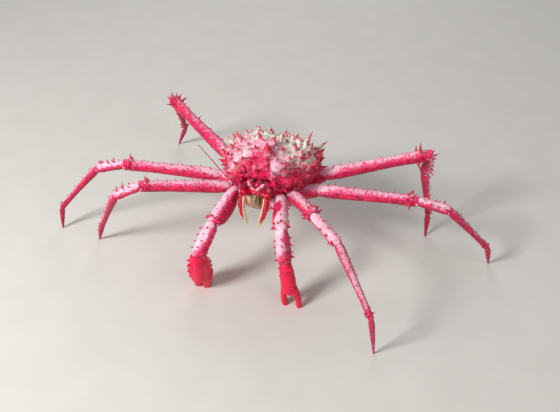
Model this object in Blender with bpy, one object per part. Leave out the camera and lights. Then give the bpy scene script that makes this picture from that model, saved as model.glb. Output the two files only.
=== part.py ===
"""A still, life-size king crab standing on the floor. Metres, +Z up.

The crab faces -Y and its own left side is +X. Every sub-part is one closed solid in an
object of its own. Limbs are posed by the direction and length of each of their pieces,
and neighbouring pieces meet at flat cuts with a thin gap between them.
"""

import math
import random

import bmesh
import bpy
from mathutils import Matrix, Vector

MM = 0.001
GAP = 0.3 * MM
UP = Vector((0, 0, 1))
FORWARD = Vector((0, -1, 0))

# The body is modelled level about its own middle, then raised and tipped nose up.
BODY_HEIGHT = 122 * MM
BODY_PITCH = math.radians(10)
# Moves the whole stance, so that its bounding box stands over the origin.
STANCE_SHIFT = Vector((-3.18, -5.76, 0)) * MM

CARAPACE_HALF_WIDTH = 61 * MM
CARAPACE_HALF_LENGTH = 62 * MM
CARAPACE_TAPER = 0.26
CARAPACE_DOME = 42 * MM
CARAPACE_FLANK = 26 * MM
CARAPACE_FLOOR = -15 * MM
CARAPACE_FULLNESS = 0.8
CARAPACE_SIDES = 32
CARAPACE_RINGS = 17

# Room that the carapace leaves round the limbs that come out from under it.
SOCKET_ROOM = 0.6 * MM

# Swellings of the carapace: middle in plan, height and spread in millimetres.
SWELLINGS = {
    "gastric": (0, -24, 6, 13),
    "cardiac": (0, 20, 3, 10),
    "left_branchial": (29, 14, 5, 16),
    "right_branchial": (-29, 14, 5, 16),
}

# Rings of spines up the dome: their elevation in degrees and how many on each side.
SPINE_RINGS = ((9, 11), (26, 11), (43, 9), (60, 6), (77, 3))
SPINE_LENGTH = 11
SPINE_RADIUS = 2.6
FACE_ARC = 26

# Spines of the brow, left side: root, direction, length and base radius in millimetres.
BROW_SPINES = (
    (Vector((0, -53, 19)), Vector((0, -0.74, 0.68)), 14, 4.0),
    (Vector((7, -48, 24)), Vector((0.4, -0.8, 1)), 11, 2.8),
    (Vector((17, -50, 13)), Vector((0.35, -1, 0.4)), 11, 2.8),
    (Vector((29, -43, 8)), Vector((0.8, -1, 0.2)), 9, 2.5),
)

FACE_WALL = -50 * MM
FACE_HALF_WIDTH = 21 * MM
FACE_CEILING = 15.5 * MM

THORAX_MIDDLE = Vector((0, -2, -16)) * MM
THORAX_HALF = Vector((56, 62, 24)) * MM
THORAX_REAR = 44 * MM
THORAX_FLOOR = -37 * MM
ABDOMEN_FLAP_MIDDLE = Vector((0, 10, -37)) * MM
ABDOMEN_FLAP_HALF = Vector((25, 38, 9)) * MM
ABDOMEN_BASE_MIDDLE = Vector((0, 44, -24)) * MM
ABDOMEN_BASE_HALF = Vector((33, 15, 17)) * MM

# Where each limb leaves the thorax and where its merus begins, in the level body, left side,
# and the azimuth in degrees that its face of the thorax looks to.
LIMB_ROOTS = {
    1: (Vector((23, -42, -23)) * MM, Vector((31, -51, -13)) * MM, 55),
    2: (Vector((34, -28, -24)) * MM, Vector((44.5, -40.5, -12)) * MM, 35),
    3: (Vector((41, -4, -25)) * MM, Vector((70, -5.5, -16)) * MM, 3),
    4: (Vector((37, 21, -25)) * MM, Vector((71.5, 21.5, -5)) * MM, -20),
}
# The right legs hang a little lower at their roots, and the hind one is swung back.
SWUNG_ROOTS = {
    (2, "right"): Vector((44.5, -40.5, -14.7)) * MM,
    (3, "right"): Vector((70, -5.5, -18.8)) * MM,
    (4, "right"): Vector((68, 28, -4)) * MM,
}

# Each walking leg's merus, carpus and propodus. The dactylus runs on to the floor.
PIECE_LENGTHS = {
    1: (55 * MM, 45 * MM),
    2: (115 * MM, 41 * MM, 98 * MM),
    3: (131 * MM, 42.5 * MM, 93 * MM),
    4: (140 * MM, 40 * MM, 84 * MM),
}

# Azimuth, in degrees from straight out sideways towards the front, and elevation, of each
# piece from the merus outwards.
POSES = {
    (1, "left"): ((73, -5.5), (53, -74), (24, -79.5)),
    (2, "left"): ((62, 26.5), (23, -32.5), (29, -54.5), (-34, -81.5)),
    (3, "left"): ((-2.5, 3), (-2.5, -11), (-20, -47.5), (-55, -69)),
    (4, "left"): ((-12, 16), (-94, -68), (-43, -77), (79, -72)),
    (1, "right"): ((75, -18.5), (70.5, -45), (-75, -76.5)),
    (2, "right"): ((28.5, 9.5), (8.5, -28.5), (-24.5, -58.5), (-28, -65.5)),
    (3, "right"): ((15, 7), (7, -16), (16.5, -48), (12.5, -79)),
    (4, "right"): ((-34, 11), (-67.5, -34), (-78.5, -59.5), (-31.5, -60.5)),
}

# Half thickness along each kind of piece, as pairs of the share of its length and millimetres.
PROFILES = {
    "coxa": ((0, 10.8), (0.35, 10.6), (0.75, 9.7), (1, 8.6)),
    "merus": ((0, 7.6), (0.05, 9.2), (0.2, 8.9), (0.45, 8.0), (0.7, 7.2), (0.86, 7.5), (0.95, 8.6), (1, 7.4)),
    "carpus": ((0, 5.8), (0.15, 6.6), (0.5, 6.5), (0.85, 7.1), (1, 6.0)),
    "propodus": ((0, 5.2), (0.07, 6.2), (0.3, 5.2), (0.6, 4.2), (0.88, 3.9), (0.96, 4.5), (1, 3.8)),
    "dactylus": ((0, 3.2), (0.15, 3.9), (0.5, 3.1), (0.8, 2.0), (1, 1.1)),
    "claw_coxa": ((0, 8.8), (0.6, 8.2), (1, 7.4)),
    "claw_merus": ((0, 7.0), (0.2, 8.4), (0.6, 8.6), (0.9, 9.4), (1, 7.6)),
    "claw_carpus": ((0, 7.6), (0.2, 9.0), (0.6, 9.5), (0.9, 9.7), (1, 8.2)),
}
# Steps along each kind of piece, and the bevel resolution of its outline.
PIECE_STEPS = {
    "coxa": (3, 3),
    "merus": (9, 3),
    "carpus": (5, 3),
    "propodus": (7, 2),
    "dactylus": (5, 2),
    "claw_coxa": (3, 3),
    "claw_merus": (5, 3),
    "claw_carpus": (4, 3),
}
LEG_KINDS = ("coxa", "merus", "carpus", "propodus", "dactylus")
CLAW_KINDS = ("claw_coxa", "claw_merus", "claw_carpus")
STOUTNESS = {1: 1.0, 2: 0.98, 3: 1.0, 4: 1.04}

# The spines of each kind of piece: its rows, as angle from its upper side and a shift along
# it, how many in a row, the shares of its length they span, and length and base radius.
SPINE_ROWS = {
    "merus": (((0, 0), (58, 0.5), (-55, 0.3)), 4, (0.1, 0.8), 4.8, 1.35),
    "carpus": (((-15, 0), (50, 0.5)), 3, (0.25, 0.85), 7.2, 1.6),
    "propodus": (((20, 0), (-50, 0.5)), 4, (0.1, 0.85), 3.6, 1.1),
    "dactylus": (((0, 0),), 2, (0.2, 0.45), 2.4, 0.8),
    "claw_merus": (((10, 0), (75, 0.4), (-70, 0.5)), 3, (0.25, 0.8), 5.2, 1.5),
    "claw_carpus": (((0, 0), (70, 0.5), (-70, 0.3)), 4, (0.15, 0.85), 5.6, 1.6),
}
# Longer spines crown the far end of these: their length and base radius.
CROWNS = {"merus": (9.5, 1.9), "claw_merus": (8.0, 1.9), "propodus": (4.2, 1.3)}
CROWN_ANGLES = (-70, -20, 28, 78)
CROWN_GROWTH = {1: 1.0, 2: 0.8, 3: 0.85, 4: 1.3}
CROWN_PLACE = 0.94
# How far the spines of rows and crowns lean towards the tip of the limb.
ROW_LEAN = 0.25
CROWN_LEAN = 0.12

# A spine's foot goes this share of its radius into what it grows from, its tip is this
# share of its foot, and on a limb its foot stands at this share of the half thickness.
SPINE_SUNK = 0.9
SPINE_TIP = 0.06
SPINE_FOOT = 0.93

# How far from a joint a piece's middle line bends, and how much deeper the keel along the
# lower inner side of a claw's merus makes it.
JOINT_BLEND = 13 * MM
KEEL = 1.0

# The claws: half width where the palm begins and where it is widest, the palm's share of
# the whole length, how far the tips stand apart, and the fingers' half thickness.
CLAWS = {
    "left": (7.6 * MM, 9.9 * MM, 0.62, 19 * MM, 4.4 * MM),
    "right": (9.4 * MM, 13.2 * MM, 0.62, 14.5 * MM, 5.8 * MM),
}
CLAW_DEPTH = 1.18
# The spines of the palm: shares of its length, angles round it, length and base radius.
PALM_SPINE_SHARES = (0.2, 0.5, 0.8)
PALM_SPINE_ANGLES = (-80, -40, 0, 40, 80)
PALM_SPINE = (4.4 * MM, 1.5 * MM)
# How far apart the fingers' roots stand, back from the palm's end, as shares of its radius.
FINGER_SPREAD = 0.5
FINGER_ROOT = 0.6
FINGER_TIP = 0.7

EYE_PLACE = Vector((5.7, -58, 11)) * MM
EYE_RADIUS = 3.4 * MM
EYESTALK_RADIUS = 2.5 * MM

# Curved tubes of the face, left side: points and half thickness, all in millimetres.
FACE_TUBES = {
    "antennule": (
        ((4.5, -49, 2), (5, -58, 1), (6.5, -66, 4), (9, -72, 10)),
        (1.7, 1.7, 1.1, 0.6),
    ),
    "antenna_peduncle": (
        ((14, -49, 2), (15.5, -57, 1.5), (18, -63, 2.5), (20.5, -68, 5)),
        (4.2, 4.0, 3.2, 2.4),
    ),
    "maxilliped_base": (
        ((10, -49, -11), (13, -56, -8), (16, -61, -5), (17, -66, -7)),
        (3.6, 3.4, 3.2, 2.8),
    ),
    "maxilliped_palp": (
        ((17, -66, -7), (18, -70, -18), (14.5, -73, -32), (10, -70, -43)),
        (2.7, 2.7, 2.1, 0.9),
    ),
}
FACE_STEPS = 6
FLAGELLUM_LENGTH = 75 * MM
FLAGELLUM_RADII = (0.8, 0.65, 0.5)
FLAGELLUM_STEPS = 8
# The left feeler reaches forwards and the right one out sideways.
FLAGELLUM_WAYS = {
    "left": Vector((0.22, -0.87, 0.44)),
    "right": Vector((-0.70, -0.13, 0.70)),
}

# The colour and roughness of each finish.
FINISHES = {
    "shell": ((0.62, 0.03, 0.07, 1), 0.42),
    "claw_shell": ((0.74, 0.02, 0.05, 1), 0.35),
    "underside": ((0.66, 0.20, 0.18, 1), 0.5),
    "mouthparts": ((0.70, 0.10, 0.08, 1), 0.45),
    "eye": ((0.02, 0.015, 0.02, 1), 0.12),
}


def clear_scene():
    for old in list(bpy.data.objects):
        bpy.data.objects.remove(old, do_unlink=True)


def make_material(name, finish_name):
    """One sub-part's own material, in the named finish."""
    colour, roughness = FINISHES[finish_name]
    material = bpy.data.materials.new(name)
    material.use_nodes = True
    shader = material.node_tree.nodes["Principled BSDF"]
    shader.inputs["Base Color"].default_value = colour
    shader.inputs["Roughness"].default_value = roughness
    shader.inputs["Metallic"].default_value = 0.0
    return material


def body_matrix():
    """Takes the level body to its place above the floor."""
    return Matrix.Translation(UP * BODY_HEIGHT + STANCE_SHIFT) @ Matrix.Rotation(-BODY_PITCH, 4, "X")


def mirrored(point, side):
    return Vector((point[0] if side == "left" else -point[0], point[1], point[2]))


def direction(azimuth, elevation, side):
    """A unit direction from its azimuth and elevation in degrees."""
    across = math.cos(math.radians(azimuth)) * math.cos(math.radians(elevation))
    ahead = math.sin(math.radians(azimuth)) * math.cos(math.radians(elevation))
    return mirrored((across, -ahead, math.sin(math.radians(elevation))), side)


def smooth_value(pairs, share):
    """The value at that share, eased between the named pairs."""
    for (a, low), (b, high) in zip(pairs, pairs[1:]):
        if share <= b:
            t = (share - a) / (b - a)
            return low + (high - low) * t * t * (3 - 2 * t)
    return pairs[-1][1]


def bezier(start, lead, trail, end, steps):
    points = []
    for step in range(steps + 1):
        t = step / steps
        u = 1 - t
        points.append(start * u**3 + lead * 3 * t * u**2 + trail * 3 * t**2 * u + end * t**3)
    return points


def mesh_object(name, bm, collection):
    mesh = bpy.data.meshes.new(name)
    bm.to_mesh(mesh)
    bm.free()
    made = bpy.data.objects.new(name, mesh)
    collection.objects.link(made)
    return made


def tube(points, radii, collection, resolution=3):
    """A closed tube along the points, as a bevelled curve that is made a mesh."""
    curve = bpy.data.curves.new("tube", "CURVE")
    curve.dimensions = "3D"
    curve.bevel_depth = 1
    curve.bevel_resolution = resolution
    curve.use_fill_caps = True
    spline = curve.splines.new("POLY")
    spline.points.add(len(points) - 1)
    for target, point, radius in zip(spline.points, points, radii):
        target.co = (*point, 1)
        target.radius = radius
    holder = bpy.data.objects.new("tube", curve)
    collection.objects.link(holder)
    bpy.context.view_layer.update()
    evaluated = holder.evaluated_get(bpy.context.evaluated_depsgraph_get())
    bm = bmesh.new()
    bm.from_mesh(evaluated.to_mesh())
    bmesh.ops.remove_doubles(bm, verts=bm.verts, dist=0.01 * MM)
    bmesh.ops.recalc_face_normals(bm, faces=bm.faces)
    bpy.data.objects.remove(holder)
    return mesh_object("tube", bm, collection)


def spine(base, pointing, length, radius, collection, sides=5):
    """A sharp cone whose foot is sunk into what it grows from."""
    pointing = pointing.normalized()
    sunk = radius * SPINE_SUNK
    bm = bmesh.new()
    bmesh.ops.create_cone(
        bm, cap_ends=True, segments=sides, radius1=radius, radius2=radius * SPINE_TIP, depth=length + sunk
    )
    turn = pointing.to_track_quat("Z", "Y").to_matrix().to_4x4()
    middle = base + pointing * ((length + sunk) / 2 - sunk)
    bmesh.ops.transform(bm, matrix=Matrix.Translation(middle) @ turn, verts=bm.verts)
    return mesh_object("spine", bm, collection)


def ellipsoid(middle, half, sides, rings, collection):
    bm = bmesh.new()
    bmesh.ops.create_uvsphere(bm, u_segments=sides, v_segments=rings, radius=1)
    bmesh.ops.transform(bm, matrix=Matrix.Translation(middle) @ Matrix.Diagonal((*half, 1)), verts=bm.verts)
    return mesh_object("ellipsoid", bm, collection)


def block(low, high, collection):
    bm = bmesh.new()
    bmesh.ops.create_cube(bm, size=1)
    size = high - low
    bmesh.ops.transform(
        bm, matrix=Matrix.Translation((low + high) / 2) @ Matrix.Diagonal((*size, 1)), verts=bm.verts
    )
    return mesh_object("block", bm, collection)


def combine(core, pieces, operation="UNION"):
    """Fuses the pieces into the core, or takes them out of it, and removes them."""
    if not pieces.objects:
        return
    boolean = core.modifiers.new("Combine", "BOOLEAN")
    boolean.operation = operation
    boolean.operand_type = "COLLECTION"
    boolean.collection = pieces
    bpy.context.view_layer.update()
    evaluated = core.evaluated_get(bpy.context.evaluated_depsgraph_get())
    mesh = bpy.data.meshes.new_from_object(evaluated)
    core.modifiers.clear()
    core.data = mesh
    for piece in list(pieces.objects):
        bpy.data.objects.remove(piece, do_unlink=True)


def cut_flat(target, point, normal):
    """Cuts off what lies beyond the plane and closes the cut."""
    bm = bmesh.new()
    bm.from_mesh(target.data)
    geometry = bm.verts[:] + bm.edges[:] + bm.faces[:]
    cut = bmesh.ops.bisect_plane(
        bm, geom=geometry, plane_co=point, plane_no=normal, dist=1e-7, clear_outer=True
    )
    rim = [e for e in cut["geom_cut"] if isinstance(e, bmesh.types.BMEdge)]
    bmesh.ops.edgenet_fill(bm, edges=rim)
    bmesh.ops.recalc_face_normals(bm, faces=bm.faces)
    bm.to_mesh(target.data)
    bm.free()


def connected(start, unseen):
    """All faces that plain edges join to the first one, taken out of the unseen."""
    island = [start]
    to_visit = [start]
    while to_visit:
        for edge in to_visit.pop().edges:
            if len(edge.link_faces) != 2:
                continue
            for other in edge.link_faces:
                if other in unseen:
                    unseen.remove(other)
                    island.append(other)
                    to_visit.append(other)
    return island


def keep_largest(target):
    """Drops any scrap that a cut has left loose."""
    bm = bmesh.new()
    bm.from_mesh(target.data)
    bmesh.ops.remove_doubles(bm, verts=bm.verts, dist=0.002 * MM)
    islands = []
    unseen = set(bm.faces)
    while unseen:
        islands.append(connected(unseen.pop(), unseen))
    islands.sort(key=len, reverse=True)
    for island in islands[1:]:
        bmesh.ops.delete(bm, geom=island, context="FACES")
    bm.to_mesh(target.data)
    bm.free()


def finish(target, name, finish_name, cuts=()):
    """Makes the cuts, drops loose scraps and gives the object its name and material."""
    for point, normal in cuts:
        cut_flat(target, point, normal)
    keep_largest(target)
    target.name = name
    target.data.name = name
    target.data.materials.clear()
    target.data.materials.append(make_material(name, finish_name))
    target.data.shade_smooth()
    target.data.set_sharp_from_angle(angle=math.radians(35))


def placed(cuts):
    """Cuts of the level body, as cuts in the world."""
    place = body_matrix()
    turn = place.to_3x3()
    return [(place @ point, turn @ normal) for point, normal in cuts]


def set_in_place(target):
    target.data.transform(body_matrix())


# The carapace


def carapace_point(turn, rise):
    """A point of the level carapace from its bearing and elevation, both in radians."""
    inward = abs(math.cos(rise)) ** CARAPACE_FULLNESS
    x = CARAPACE_HALF_WIDTH * inward * math.cos(turn) * (1 + CARAPACE_TAPER * math.sin(turn))
    y = CARAPACE_HALF_LENGTH * inward * math.sin(turn)
    z = (CARAPACE_DOME if rise > 0 else CARAPACE_FLANK) * math.sin(rise)
    if rise > 0:
        for middle_x, middle_y, height, spread in SWELLINGS.values():
            away = ((x / MM - middle_x) ** 2 + (y / MM - middle_y) ** 2) / (2 * spread**2)
            z += height * MM * math.exp(-away) * math.sin(rise)
    return Vector((x, y, z))


def carapace_normal(turn, rise):
    step = 0.02
    around = carapace_point(turn + step, rise) - carapace_point(turn - step, rise)
    upward = carapace_point(turn, rise + step) - carapace_point(turn, rise - step)
    return around.cross(upward).normalized()


def carapace_spines(pieces, chance):
    for ring, (elevation, count) in enumerate(SPINE_RINGS):
        for i in range(count):
            bearing = -90 + 180 * (i + 0.5) / count + chance.uniform(-3, 3)
            lift = elevation + chance.uniform(-3, 3)
            size = chance.uniform(0.75, 1.25)
            if ring < 2 and bearing < -90 + FACE_ARC:
                continue
            for side in ("left", "right"):
                turn = math.radians(bearing if side == "left" else 180 - bearing)
                rise = math.radians(lift)
                pointing = carapace_normal(turn, rise) + UP * 0.3
                length = SPINE_LENGTH * size * chance.uniform(0.92, 1.08) * MM
                spine(carapace_point(turn, rise), pointing, length, SPINE_RADIUS * size**0.5 * MM, pieces)
    for root, pointing, length, radius in BROW_SPINES:
        for side in ("left", "right") if root.x else ("left",):
            spine(mirrored(root, side) * MM, mirrored(pointing, side), length * MM, radius * MM, pieces, 6)


def build_carapace(parts, pieces):
    core = ellipsoid(Vector((0, 0, 0)), Vector((1, 1, 1)), CARAPACE_SIDES, CARAPACE_RINGS, parts)
    for vertex in core.data.vertices:
        turn = math.atan2(vertex.co.y, vertex.co.x)
        rise = math.asin(max(-1, min(1, vertex.co.z)))
        vertex.co = carapace_point(turn, rise)
    carapace_spines(pieces, random.Random(5))
    combine(core, pieces)
    low = Vector((-FACE_HALF_WIDTH, -2 * CARAPACE_HALF_LENGTH, -CARAPACE_DOME))
    block(low, Vector((FACE_HALF_WIDTH, FACE_WALL, FACE_CEILING)), pieces)
    combine(core, pieces, "DIFFERENCE")
    set_in_place(core)
    for number in LIMB_ROOTS:
        for side in ("left", "right"):
            limb = Limb(number, side)
            for index, kind in enumerate(limb.kinds[:2]):
                shaft(limb, index, kind, pieces, SOCKET_ROOM)
    combine(core, pieces, "DIFFERENCE")
    finish(core, "carapace", "shell", placed([(UP * CARAPACE_FLOOR, -UP)]))


# The thorax and abdomen


def thorax_face(number, side):
    """The point and outward normal of the face that a limb stands on."""
    socket, _, azimuth = LIMB_ROOTS[number]
    return mirrored(socket, side), direction(azimuth, 0, side)


def build_thorax(parts):
    core = ellipsoid(THORAX_MIDDLE, THORAX_HALF, 24, 12, parts)
    set_in_place(core)
    cuts = [
        (UP * (CARAPACE_FLOOR - GAP), UP),
        (UP * THORAX_FLOOR, -UP),
        (FORWARD * -FACE_WALL, FORWARD),
        (FORWARD * -THORAX_REAR, -FORWARD),
    ]
    cuts += [thorax_face(number, side) for number in LIMB_ROOTS for side in ("left", "right")]
    finish(core, "thorax", "underside", placed(cuts))


def build_abdomen(parts):
    base = ellipsoid(ABDOMEN_BASE_MIDDLE, ABDOMEN_BASE_HALF, 20, 10, parts)
    set_in_place(base)
    cuts = [
        (UP * (CARAPACE_FLOOR - GAP), UP),
        (-FORWARD * (THORAX_REAR + GAP), FORWARD),
        (UP * THORAX_FLOOR, -UP),
    ]
    finish(base, "abdomen_base", "underside", placed(cuts))
    flap = ellipsoid(ABDOMEN_FLAP_MIDDLE, ABDOMEN_FLAP_HALF, 20, 10, parts)
    set_in_place(flap)
    finish(flap, "abdomen_flap", "underside", placed([(UP * (THORAX_FLOOR - GAP), UP)]))


# The limbs


class Limb:
    """The joints of one limb, and the planes where its pieces meet."""

    def __init__(self, number, side):
        self.number, self.side = number, side
        place = body_matrix()
        root = SWUNG_ROOTS.get((number, side), LIMB_ROOTS[number][1])
        self.kinds = CLAW_KINDS if number == 1 else LEG_KINDS
        socket, facing = thorax_face(number, side)
        self.joints = [place @ socket, place @ mirrored(root, side)]
        pose = POSES[(number, side)]
        for (azimuth, elevation), length in zip(pose, PIECE_LENGTHS[number]):
            self.joints.append(self.joints[-1] + direction(azimuth, elevation, side) * length)
        last = direction(*pose[-1], side)
        self.joints.append(self.joints[-1] + last * (self.joints[-1].z / -last.z))
        self.ways = [(b - a).normalized() for a, b in zip(self.joints, self.joints[1:])]
        self.planes = [place.to_3x3() @ facing]
        for before, after in zip(self.ways, self.ways[1:]):
            self.planes.append((before + after).normalized())

    def is_last(self, index):
        return index == len(self.ways) - 1

    def ends(self, index):
        """The directions in which a piece's middle line leaves one joint and comes to the next."""
        way = self.ways[index] * 2
        leaving = (way + self.planes[index]).normalized()
        arriving = (way if self.is_last(index) else way + self.planes[index + 1]).normalized()
        return leaving, arriving

    def middle_line(self, index, steps):
        start, end = self.joints[index], self.joints[index + 1]
        leaving, arriving = self.ends(index)
        reach = min((end - start).length / 3, JOINT_BLEND)
        return bezier(start, start + leaving * reach, end - arriving * reach, end, steps)

    def upper_side(self, index):
        """The direction of a piece's upper side, which on an upright piece looks outwards."""
        way, out = self.ways[index], self.ways[1]
        outwards = Vector((out.x, out.y, 0)).normalized()
        helper = UP * math.sqrt(max(0.0, 1 - way.z**2)) + outwards * abs(way.z)
        side = way.cross(helper).normalized()
        return side.cross(way).normalized()

    def cuts(self, index):
        """The flat cuts that part a piece from its neighbours, or end it on the floor."""
        start, end = self.joints[index], self.joints[index + 1]
        first = self.planes[index]
        made = [(start + first * GAP / 2, -first)]
        if self.is_last(index):
            made.append((Vector((0, 0, 0)), -UP))
        else:
            made.append((end - self.planes[index + 1] * GAP / 2, self.planes[index + 1]))
        return made


def half_thickness(limb, kind, share):
    return smooth_value(PROFILES[kind], share) * STOUTNESS[limb.number] * MM


def shaft(limb, index, kind, collection, room=0):
    """One piece of a limb as a tube, run on past the planes that will cut it."""
    steps, resolution = PIECE_STEPS[kind]
    points = limb.middle_line(index, steps)
    start, way = limb.joints[index], limb.ways[index]
    length = (limb.joints[index + 1] - start).length
    radii = [half_thickness(limb, kind, (point - start).dot(way) / length) + room for point in points]
    leaving, arriving = limb.ends(index)
    first = leaving.angle(limb.planes[index])
    points.insert(0, points[0] - leaving * (radii[0] * math.tan(first) + 2 * MM))
    radii.insert(0, radii[0])
    last = 0 if limb.is_last(index) else arriving.angle(limb.planes[index + 1])
    points.append(points[-1] + arriving * (radii[-1] * math.tan(last) + 3 * MM))
    radii.append(radii[-1])
    return tube(points, radii, collection, resolution)


def plant_spine(limb, index, kind, share, angle, length, radius, lean, pieces):
    """A spine at that share of a piece's length and angle round it."""
    middle = limb.joints[index].lerp(limb.joints[index + 1], share)
    way, upper = limb.ways[index], limb.upper_side(index)
    out = upper * math.cos(math.radians(angle)) + way.cross(upper) * math.sin(math.radians(angle))
    base = middle + out * half_thickness(limb, kind, share) * SPINE_FOOT
    spine(base, out + way * lean, length * MM, radius * MM, pieces)


def add_keel(core, limb, index):
    """Deepens a piece along its lower inner side, most at its middle."""
    start, way = limb.joints[index], limb.ways[index]
    length = (limb.joints[index + 1] - start).length
    inner = mirrored((-0.6, 0, 0), limb.side) - limb.upper_side(index) * 0.8
    keel = (inner - way * inner.dot(way)).normalized()
    for vertex in core.data.vertices:
        share = (vertex.co - start).dot(way) / length
        depth = (vertex.co - start).dot(keel)
        if depth > 0 and 0 < share < 1:
            vertex.co += keel * depth * KEEL * math.sin(math.pi * share)


def limb_spines(limb, index, kind, pieces, chance):
    rows, count, (low, high), length, radius = SPINE_ROWS[kind]
    for angle, shift in rows:
        for i in range(count):
            share = low + (high - low) * min(1, (i + shift) / max(1, count - 0.5))
            turned = angle + chance.uniform(-9, 9)
            grown = length * chance.uniform(0.75, 1.25)
            plant_spine(limb, index, kind, share, turned, grown, radius, ROW_LEAN, pieces)
    if kind in CROWNS:
        length, radius = CROWNS[kind]
        for angle in CROWN_ANGLES:
            turned = angle + chance.uniform(-5, 5)
            grown = length * CROWN_GROWTH[limb.number] * chance.uniform(0.8, 1.1)
            plant_spine(limb, index, kind, CROWN_PLACE, turned, grown, radius, CROWN_LEAN, pieces)


def coxa_clearances(number, side):
    """Cuts that keep a coxa apart from the coxae beside it."""
    cuts = []
    for other in (number - 1, number + 1):
        if other in LIMB_ROOTS:
            inner = (LIMB_ROOTS[number][0] + LIMB_ROOTS[other][0]) / 2
            outer = (LIMB_ROOTS[number][1] + LIMB_ROOTS[other][1]) / 2
            normal = (outer - inner).cross(UP).normalized()
            if normal.dot(LIMB_ROOTS[other][0] - LIMB_ROOTS[number][0]) < 0:
                normal = -normal
            cuts.append((mirrored(inner - normal * GAP / 2, side), mirrored(normal, side)))
    return placed(cuts)


def build_piece(limb, index, kind, name, parts, pieces, chance):
    core = shaft(limb, index, kind, parts)
    if kind == "claw_merus":
        add_keel(core, limb, index)
    if kind in SPINE_ROWS:
        limb_spines(limb, index, kind, pieces, chance)
        combine(core, pieces)
    cuts = limb.cuts(index)
    if index == 0:
        cuts += coxa_clearances(limb.number, limb.side)
    finish(core, name, "shell", cuts)


def build_walking_leg(number, side, parts, pieces):
    limb = Limb(number, side)
    chance = random.Random(f"leg {number} {side}")
    for index, kind in enumerate(LEG_KINDS):
        build_piece(limb, index, kind, f"leg_{number}_{side}_{kind}", parts, pieces, chance)


def finger(root, lead, tip, thickness, collection):
    """A curved finger that tapers to a blunt tip and runs on through the floor."""
    steps = 6
    points = bezier(root, (root + lead) / 2, lead, tip, steps)
    radii = [thickness * (1 - (1 - FINGER_TIP) * (i / steps) ** 1.6) for i in range(steps + 1)]
    points.append(tip + (tip - lead).normalized() * 3 * MM)
    radii.append(radii[-1])
    return tube(points, radii, collection, 2)


def palm_spines(limb, start, length, palm_radius, across, pieces, chance):
    size, radius = PALM_SPINE
    way, upper = limb.ways[3], limb.upper_side(3)
    for share in PALM_SPINE_SHARES:
        for angle in PALM_SPINE_ANGLES:
            turn = math.radians(angle + chance.uniform(-8, 8))
            out = upper * math.cos(turn) + across * math.sin(turn)
            at = start + way * length * (share + chance.uniform(-0.05, 0.05))
            grown = size * chance.uniform(0.75, 1.2)
            spine(at + out * (palm_radius - 1.2 * MM), out + way * 0.3, grown, radius, pieces)


def build_claw(limb, parts, pieces, chance):
    """The palm with its fixed outer finger, and the moving inner finger on its own cut."""
    base_radius, palm_radius, palm_share, spread, thickness = CLAWS[limb.side]
    start, tip = limb.joints[3], limb.joints[4]
    way, upper = limb.ways[3], limb.upper_side(3)
    inwards = mirrored((-1, 0, 0), limb.side)
    across = (inwards - way * inwards.dot(way)).normalized()
    length = (tip - start).length
    palm_end = start + way * length * palm_share
    stretch = Matrix.Translation(start) @ Matrix.Scale(CLAW_DEPTH, 4, upper) @ Matrix.Translation(-start)

    points, radii = [start - way * 4 * MM], [base_radius]
    for share in (0.05, 0.25, 0.5, 0.75, 0.95):
        points.append(start + way * length * palm_share * share)
        radii.append(base_radius + (palm_radius - base_radius) * math.sin(math.pi / 2 * min(1, share * 1.5)))
    points.append(palm_end + way * palm_radius * 0.7 - across * palm_radius * 0.25)
    radii.append(palm_radius * 0.62)
    palm = tube(points, radii, parts, 3)

    palm_spines(limb, start, length * palm_share, palm_radius, across, pieces, chance)
    combine(palm, pieces)

    socket = palm_end + across * palm_radius * FINGER_SPREAD
    ahead = (way + across * 0.5).normalized()
    cut_flat(palm, socket - ahead * GAP / 2, ahead)
    for sign, holder in ((-1, pieces), (1, parts)):
        root = palm_end + (across * sign * FINGER_SPREAD - way * FINGER_ROOT) * palm_radius
        end = tip + across * sign * spread / 2
        end.z = 0
        lead = end - way * (end - palm_end).dot(way) * 0.55 + across * sign * 1.6 * MM
        made = finger(root, lead, end, thickness, holder)
        if sign == 1:
            moving = made
    combine(palm, pieces)
    palm.data.transform(stretch)
    moving.data.transform(stretch)
    floor = (Vector((0, 0, 0)), -UP)
    name = f"claw_{limb.side}"
    finish(palm, f"{name}_palm", "claw_shell", [limb.cuts(3)[0], floor])
    finish(moving, f"{name}_dactylus", "claw_shell", [(socket + ahead * GAP / 2, -ahead), floor])


def build_claw_limb(side, parts, pieces):
    limb = Limb(1, side)
    chance = random.Random(f"claw {side}")
    for index, kind in enumerate(CLAW_KINDS):
        name = kind.replace("claw", f"claw_{side}")
        build_piece(limb, index, kind, name, parts, pieces, chance)
    build_claw(limb, parts, pieces, chance)


# The face


def build_eye(side, parts, pieces):
    place = mirrored(EYE_PLACE, side)
    back = Vector((place.x, FACE_WALL, place.z - 1 * MM))
    stalk = tube([back - FORWARD * 3 * MM, back, place], [EYESTALK_RADIUS] * 3, parts, 2)
    ellipsoid(place, Vector((1, 1.1, 1)) * EYE_RADIUS, 12, 8, pieces)
    combine(stalk, pieces)
    set_in_place(stalk)
    finish(stalk, f"eye_{side}", "eye", placed([(FORWARD * (-FACE_WALL + GAP), -FORWARD)]))


def face_line(name, side):
    points, _ = FACE_TUBES[name]
    first, lead, trail, last = [mirrored(point, side) * MM for point in points]
    return first, lead, trail, last


def eased_radii(sizes, steps):
    """The radius at each step, eased between sizes in millimetres that are spaced evenly."""
    pairs = [(i / (len(sizes) - 1), size) for i, size in enumerate(sizes)]
    return [smooth_value(pairs, step / steps) * MM for step in range(steps + 1)]


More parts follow.
